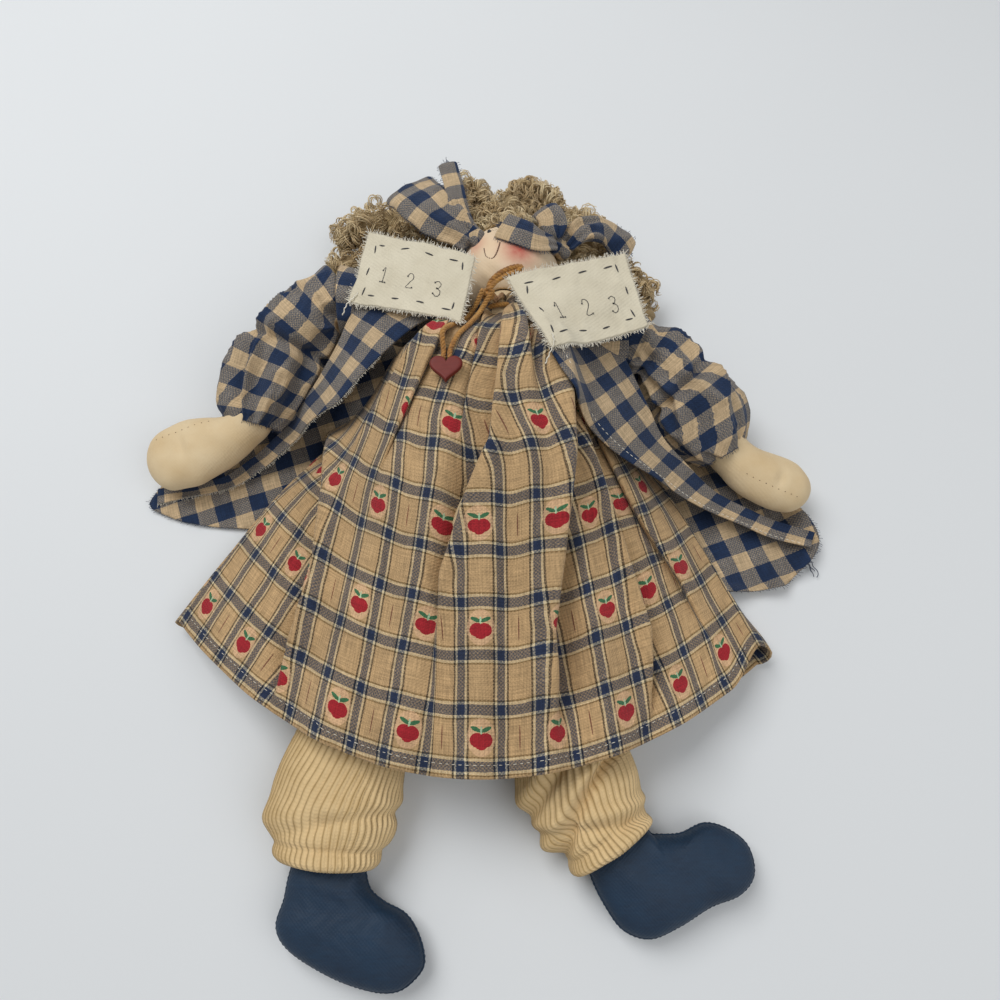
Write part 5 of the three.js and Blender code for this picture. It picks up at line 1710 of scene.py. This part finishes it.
@dataclass
class Limb:
    """A stuffed muslin limb. As it stands it is a leg."""

    side: Side
    path: Path
    widths: Stations = ((0, 16.0), (1, 15.0))
    heights: Stations = ((0, 12.2), (1, 11.0))
    ends: tuple[float, float] = (8, 5)  # mm over which each end closes
    seed: int = 90
    rows: int = 80
    sides: int = 48

    def points(self) -> Array:
        """Gives the limb's rings, gently uneven with stuffing."""
        line = smooth_line(self.path, self.rows)
        share = np.linspace(0, 1, self.rows)
        full = round_ends(line, *self.ends, 0.04)
        points = rings(line, profile(self.widths, share) * full, profile(self.heights, share) * full, self.sides)
        points = swollen(points, line, ripples(points, 16, self.seed) * 0.35 * full[:, None])
        points[..., 2] = np.maximum(points[..., 2], 0.6)
        return points

    def build(self, bench: Workbench, finishes: Finishes) -> None:
        """Makes the leg, which its stocking covers."""
        leg = f"{self.side.word}_leg"
        settle(piece(f"Leg_{self.side.word}", stuffed(self.points()), finishes.skin), leg, "muslin", leg, fill=0.8)


@dataclass
class Arm(Limb):
    """An arm with a mitten hand, and the round stub that turns in the shoulder."""

    ends: tuple[float, float] = (6, 12)
    seed: int = 80
    rows: int = 130
    sides: int = 72
    hand: float = 20.0
    muscle: float = 11.5
    stub_radius: float = 10.0

    def __post_init__(self) -> None:
        """Works out its measures from shoulder to hand."""
        thin, full, hand = self.muscle * 0.85, self.muscle, self.hand
        self.widths = ((0, thin), (0.45, full), (0.62, full * 1.05), (0.84, hand), (1, hand * 0.8))
        self.heights = ((0, thin), (0.6, full), (0.85, full), (1, full * 0.8))

    def stub(self) -> Shape:
        """Makes the stub."""
        line = SHOULDERS[self.side] - np.outer(np.linspace(20, -4, 18), [self.side.value, 0, 0])
        full = round_ends(line, 2, 2, 0.05) * self.stub_radius
        return stuffed(rings(line, full, full, 48))

    def build(self, bench: Workbench, finishes: Finishes) -> None:
        """Makes the arm, its palm crease and its seam stitches."""
        points = self.points()
        share, angle = np.linspace(0, 1, self.rows)[:, None], full_circle(self.sides)
        dent = hump(share, 0.84, 0.022) * hump(np.cos(angle), 0.1, 0.34) * smooth_step(np.sin(angle), 0.2, 0.9)
        points[..., 2] -= dent * 2.0
        shape = joined(stuffed(points), self.stub())
        tree = shape.tree()
        line = smooth_line(self.path, self.rows)
        seam = line + along_frames(line)[1] * self.hand * 0.5
        spots = [(x, y, height_at(tree, x, y)) for x, y, _ in
                 seam[np.linspace(self.rows * 0.72, self.rows * 0.93, 14).astype(int)]]
        stitched = smooth_line([(x, y, z + 0.05) for x, y, z in spots if z is not None], 60)
        made = merge(piece(f"Arm_{self.side.word}", shape, finishes.skin),
                     bench.stitches([stitched], finishes.brown, 3.6, 0.7, 0.45, 0.3))
        settle(made, f"{self.side.word}_arm", "muslin", f"{self.side.word}_arm", fill=0.85)


@dataclass
class Stocking:
    """A slouched stocking in ribbed knit, rolled where it meets the boot."""

    side: Side
    path: Path
    widths: Stations
    heights: Stations
    bunch: tuple[tuple[float, float, float], ...]  # place, depth and slant of each fold
    rib: float = 2.6  # mm from rib to rib
    usual: tuple[float, float] = (27.0, 14.5)  # half width and half height that its ribs are counted on

    def points(self) -> tuple[Array, Array]:
        """Gives the knit's rings with ribs and slouched folds, and each point's rib and place along it."""
        rows, sides = 180, 330
        line = smooth_line(self.path, rows)
        share, angle = np.linspace(0, 1, rows), full_circle(sides)
        full = round_ends(line, 3.5, 2.5, 0.62)
        base = rings(line, profile(self.widths, share) * full, profile(self.heights, share) * full, sides)
        share = share[:, None]
        count = round(TURN * math.hypot(*self.usual) / math.sqrt(2) / self.rib)
        drift = 0.12 * np.sin(share * 7 + 2) + 0.02 * np.sin(angle * 3)
        relief = ripples(base, 24, 70 + self.side.value, (1, 1.3, 1)) * 0.9
        for place, depth, slant in self.bunch:
            centre = place + slant * np.cos(angle) * 0.1
            relief -= (hump(share, centre, 0.035) - hump(share, centre - 0.07, 0.04) * 0.55) * depth
        relief *= smooth_step(share, 0.1, 0.35)
        relief += np.abs(np.cos((angle + drift) * count / 2)) ** 0.8 * 1.15
        relief += hump(share, 0.955, 0.03) * 1.8 - hump(share, 0.895, 0.02) * 1.2
        points = swollen(base, line, relief)
        lifted = 5.5 * (1 - smooth_step(share, 0.55, 0.75))  # clear of the smock's back
        points[..., 2] = np.maximum(points[..., 2], 0.35 + lifted)
        rib = (np.append(angle, TURN) + drift[:, :1]) * count / TURN
        return points, np.stack(np.broadcast_arrays(rib, share * line_length(line)), axis=2)

    def build(self, bench: Workbench, finishes: Finishes) -> None:
        """Makes the stocking as a sleeve of knit that turns in at its lower end."""
        points, cloth = self.points()
        middle = points[-1].mean(axis=0)
        turned_in = [middle + (points[-1] - middle) * share + [0, back, 0]
                     for share, back in ((0.93, 0.3), (0.88, 2.5), (0.85, 6.0))]
        shape = stuffed(np.concatenate([points, turned_in]), np.concatenate([cloth, cloth[-3:] + [0, 3.0]]))
        word = self.side.word
        made = piece(f"Stocking_{word}", shape, finishes.knit)
        settle(made, f"{word}_leg", "ribbed_knit", f"{word}_stocking", fill=0.6)


@dataclass
class Boot:
    """A flat stuffed boot with a seam round its edge."""

    side: Side
    outline: Path
    seed: int
    thickness: float = 23.0

    def build(self, bench: Workbench, finishes: Finishes) -> None:
        """Makes the boot and its seam."""
        outline = smooth_ring(self.outline, 200)
        steps = np.linspace(0.02, 1, 46)
        flat = spread(outline, outline.mean(axis=0), steps)
        puff = np.sqrt(1 - steps[:, None] ** 3.2)
        height, middle = self.thickness / 2 * puff, self.thickness / 2 + 0.1
        lumps = (0.5 * ripples(raised(flat), 22, self.seed) + 0.2 * ripples(raised(flat), 8, self.seed + 1)) * puff
        shape = cushion(raised(flat, middle + height + lumps), raised(flat, middle - height)[:-1])
        seam = Strand(raised(np.vstack([outline, outline[:1]]), middle), 0.55, coil=0.15, pitch=2.4)
        made = merge(piece(f"Boot_{self.side.word}", shape, finishes.boot),
                     bench.strands("seam", [seam], finishes.boot, 6))
        settle(made, f"{self.side.word}_foot", "painted_boot_cloth", f"{self.side.word}_boot", fill=0.8)


ARMS = (
    Arm(Side.LEFT, ((-84, 128, 42), (-98, 114, 37), (-111, 92, 30), (-123, 70, 24), (-138, 54, 20), (-160, 45, 18),
                    (-185, 36, 16)), hand=20.0),
    Arm(Side.RIGHT, ((85, 98, 42), (101, 86, 37), (118, 67, 31), (132, 48, 25), (146, 34, 21), (163, 25.5, 19),
                     (181, 20, 17)), hand=15.0),
)
LEGS = (
    Limb(Side.LEFT, ((-28, -26, 19.7), (-46, -64, 19.7), (-62, -112, 20.1), (-67, -138, 15.7), (-69.4, -147, 14.5))),
    Limb(Side.RIGHT, ((28, -26, 19.7), (36, -66, 19.7), (45, -118, 20.1), (54, -140, 15.7), (62.4, -143.7, 14.5))),
)
STOCKINGS = (
    Stocking(Side.LEFT, ((-49, -73, 19.7), (-55, -92, 20), (-62, -114, 20), (-68, -140, 19), (-70.5, -166, 16)),
             ((0, 20), (0.3, 25), (0.6, 29), (0.82, 29.5), (1, 19)),
             ((0, 13.5), (0.4, 14.5), (0.7, 15.5), (1, 13.0)), ((0.78, 1.5, 0.9),)),
    Stocking(Side.RIGHT, ((37, -74, 19.7), (40, -92, 20), (45, -118, 20), (54, -140, 18), (66, -159, 15.5)),
             ((0, 20), (0.3, 25), (0.62, 28), (0.82, 25), (1, 20)),
             ((0, 13.5), (0.4, 14.5), (0.7, 15.5), (1, 13.0)), ((0.46, 3.4, 2.0), (0.66, 4.2, 2.0), (0.84, 2.4, -1.0))),
)
BOOTS = (
    Boot(Side.LEFT, ((-54, -156), (-70, -149.5), (-84, -157), (-88, -169), (-89.5, -179.5), (-92, -191),
                     (-85, -200.5), (-66, -210.5), (-48, -216), (-36, -216.5), (-28, -212), (-23.5, -205),
                     (-26.5, -194), (-33, -185.5), (-44, -180), (-51, -173)), 3),
    Boot(Side.RIGHT, ((84, -152), (74, -144.5), (60, -146), (51.5, -158), (54, -170), (60, -182), (68, -192),
                      (80, -195.5), (94, -190.5), (109, -182.5), (123, -177.5), (130.5, -169), (129, -157),
                      (120, -149.5), (109, -147), (97, -151.5)), 8),
)


# ---- torso, twine and heart


@dataclass
class Torso:
    """The stuffed body under the smock, with the neck that the head turns on."""

    hip_y: float = -20.0
    half_width: float = 43.0
    half_height: float = 34.8
    bed: float = 5.6
    widths: Stations = ((0, 0.82), (0.3, 0.96), (0.62, 0.96), (0.82, 0.76), (1, 0.34))
    heights: Stations = ((0, 0.72), (0.3, 0.9), (0.62, 0.92), (0.82, 0.78), (1, 0.4))

    def build(self, bench: Workbench, finishes: Finishes) -> None:
        """Makes the trunk, the neck and its ball."""
        x, y, z = NECK
        length, middle = y - self.hip_y, self.bed + self.half_height
        line = smooth_line([(0, self.hip_y + 1, middle), (2, self.hip_y + length * 0.35, middle),
                            (8, self.hip_y + length * 0.7, middle + 2), (x, y - 8, z - 3)], 80)
        share, full = np.linspace(0, 1, 80), round_ends(line, 6, 5, 0.05)
        wide = profile(self.widths, share) * self.half_width * full
        trunk = rings(line, wide, profile(self.heights, share) * self.half_height * full, 64)
        ahead = np.linspace(-20, 11.8, 30)
        reach = np.sqrt(np.maximum(NECK_RADIUS**2 - np.maximum(ahead, 0) ** 2, 0.3)) - 0.3
        neck = rings(NECK + np.outer(ahead, [0, 1, 0]), reach, reach, 48)
        made = piece("Torso", joined(stuffed(trunk), stuffed(neck)), finishes.skin)
        settle(made, "hips", "muslin", "torso", fill=0.8)


@dataclass
class Twine:
    """Jute twine tied round the neck, with a loop of its bow and two ends that hold the heart."""

    diameter: float = 3.0
    ring_y: float = 107.8
    around: float = 13.8
    knot: tuple[float, float, float] = (4.717, 110.3, 71.76)
    knot_radius: float = 2.5
    bow: Path = ((4.8, 110.8, 77), (6.4, 114.2, 79), (10.5, 117.3, 81), (15.6, 119.7, 82), (19.7, 120.5, 82.5),
                 (22.3, 119.9, 82.5), (19.7, 118.5, 81.5), (14.6, 117.1, 80.5), (8.9, 113.9, 79), (5.3, 109.4, 78))

    @staticmethod
    def spun(line: Array, size: float) -> list[Strand]:
        """Twists three strands round a line."""
        fine = smooth_line(line, max(24, int(line_length(line) * 1.6)))
        return [Strand(fine, size * 0.25, size * 0.24, 5.2, TURN * k / 3) for k in range(3)]

    def tail(self, side: Side, tree: BVHTree) -> Array:
        """Gives the route of a hanging end, over the smock."""
        right = side is Side.RIGHT
        spots = [(-5 + 6 * right, 101), (-12 + 8 * right, 90), (-17 + 7 * right, 80)]
        spots += [(HEART[0] + side.value * 1.65, y) for y in (70.2, 65.7)]
        points = [(self.knot[0] + side.value * 2.5, 109.8, 77.56)]
        for x, y in spots:
            points.append((x, y, max(height_at(tree, x + dx, y) or 0.0 for dx in (-1.5, 0, 1.5)) + 1.6))
        return smooth_line(points, 26)

    def ring(self) -> Array:
        """Gives the line round the neck."""
        angle = np.linspace(0, TURN, 90)
        x, _, z = NECK
        flat = np.stack([x + self.around * np.cos(angle), 0 * angle + self.ring_y], axis=1)
        return raised(flat, z + self.around * np.sin(angle))

    def knotted(self) -> list[Strand]:
        """Ties three tilted rounds of thinner twine."""
        loop = np.linspace(0, TURN, 30)
        turns: list[Strand] = []
        for k, tilt in enumerate((0.2, 1.1, 2.1)):
            flat = np.stack([np.cos(loop), np.sin(loop) * math.cos(tilt), np.sin(loop) * math.sin(tilt)], axis=1)
            turns += self.spun(flat * self.knot_radius + self.knot + UP * (0.3 * k + 1.0), 2.6)
        return turns

    def build(self, bench: Workbench, finishes: Finishes, smock: Shape) -> None:
        """Makes the twine and the heart on it.

        Args:
            bench: the shared trees.
            finishes: the materials.
            smock: what the ends lie on.
        """
        bow = smooth_line(self.bow, 70)
        for name, strands in (("Neck_twine", self.spun(self.ring(), self.diameter)), ("Twine_knot", self.knotted()),
                              ("Twine_bow_loop", self.spun(bow, self.diameter))):
            settle(bench.strands(name, strands, finishes.jute, 6), "torso", "jute_twine", name.lower())
        tree = smock.tree()
        routes = {side: self.tail(side, tree) for side in Side}
        rest = max(route[-1, 2] for route in routes.values())
        heart = Heart(height=rest + 0.3).build(finishes)
        for side, route in routes.items():
            tail = bench.strands(f"Twine_tail_{side.word}", self.spun(route, self.diameter), finishes.jute, 6)
            settle(tail, "torso", "jute_twine", f"twine_tail_{side.word}")
            line_length(route) * MM


@dataclass
class Heart:
    """A small painted wooden heart on the twine."""

    height: float
    width: float = 16.0
    thickness: float = 3.4

    def build(self, finishes: Finishes) -> Thing:
        """Makes the heart with rounded edges."""
        angle = full_circle(160)
        x = 16 * np.sin(angle) ** 3
        y = 13 * np.cos(angle) - 5 * np.cos(2 * angle) - 2 * np.cos(3 * angle) - np.cos(4 * angle)
        outline = np.stack([x, y + 2.5], axis=1) * (self.width / 32)
        steps = np.concatenate([np.linspace(0.02, 0.85, 10), np.linspace(0.88, 1, 12)])
        edge = np.sqrt(1 - np.clip((steps - 0.82) / 0.18, 0, 1) ** 2)
        flat = spread(outline, np.zeros(2), steps) + HEART
        half, middle = self.thickness / 2 * (0.12 + 0.88 * edge)[:, None], self.height + self.thickness / 2
        made = piece("Heart", cushion(raised(flat, middle + half), raised(flat, middle - half)), finishes.heart)
        return settle(made, "heart", "painted_heart", "heart_charm")


# ---- studio


@dataclass
class Studio:
    """The floor, the soft light and the camera."""

    camera: tuple[float, float, float] = (0.011, -0.12299, 0.40613)
    tilt: float = 20.0
    lens: float = 27.18
    floor: float = 4.0

    def build(self) -> None:
        """Sets them all up."""
        scene, half = bpy.context.scene, self.floor / 2
        mesh = bpy.data.meshes.new("Floor")
        mesh.from_pydata([(-half, -half, 0), (half, -half, 0), (half, half, 0), (-half, half, 0)], [], [(0, 1, 2, 3)])
        mesh.materials.append(PaperSweep("pale paper", "#dee1e3", "#e2e5e7").build())
        put_in_scene("Floor", mesh)
        self.light("Window", (-0.62, 0.62, 1.35), 0.95, 15.2)
        self.light("Fill", (0.9, -0.5, 1.3), 1.4, 7.6)
        scene.world = bpy.data.worlds.new("Studio")
        scene.world.use_nodes = True
        tree = scene.world.node_tree
        tree.nodes.clear()
        seen = add(tree, "ShaderNodeLightPath", output="Is Camera Ray")
        for ray in ("Is Glossy Ray", "Is Transmission Ray"):
            seen = seen.take("MAXIMUM", add(tree, "ShaderNodeLightPath", output=ray))
        room, wall = [add(tree, "ShaderNodeBackground", [linear(colour), strength])
                      for colour, strength in (("#f0f1f2", 0.34), ("#e4e7ea", 1.0))]
        add(tree, "ShaderNodeOutputWorld", [add(tree, "ShaderNodeMixShader", [seen, room, wall])])
        scene.view_settings.view_transform = "Standard"
        data = bpy.data.cameras.new("Camera")
        data.lens, data.sensor_width, data.clip_start = self.lens, 36.0, 0.01
        scene.camera = put_in_scene("Camera", data)
        scene.camera.location = self.camera
        scene.camera.rotation_euler = (math.radians(self.tilt), 0, 0)

    @staticmethod
    def light(name: str, place: Sequence[float], size: float, power: float) -> None:
        """Adds a soft square light that faces the doll."""
        data = bpy.data.lights.new(name, "AREA")
        data.size, data.energy = size, power
        lamp = put_in_scene(name, data)
        lamp.location = place
        lamp.rotation_euler = (-Vector(place)).to_track_quat("-Z", "Y").to_euler()


# ---- the doll


def main() -> None:
    """Builds the scene."""
    logging.basicConfig(level=logging.INFO, format="%(message)s")
    Studio().build()
    bench, finishes = Workbench(), Finishes()
    smock = Smock().build(bench, finishes)
    Twine().build(bench, finishes, smock)
    fronts = Jacket().build(bench, finishes, smock)
    sleeves = [sleeve.build(bench, finishes) for sleeve in SLEEVES]
    trees = [shape.tree() for shape in (smock, *fronts, *sleeves)]
    for collar in COLLARS:
        collar.build(bench, finishes, trees)
    for part in (Head(), Hair(), *BOWS, *ARMS, *LEGS, *STOCKINGS, *BOOTS, Torso()):
        part.build(bench, finishes)


if __name__ == "__main__":
    main()
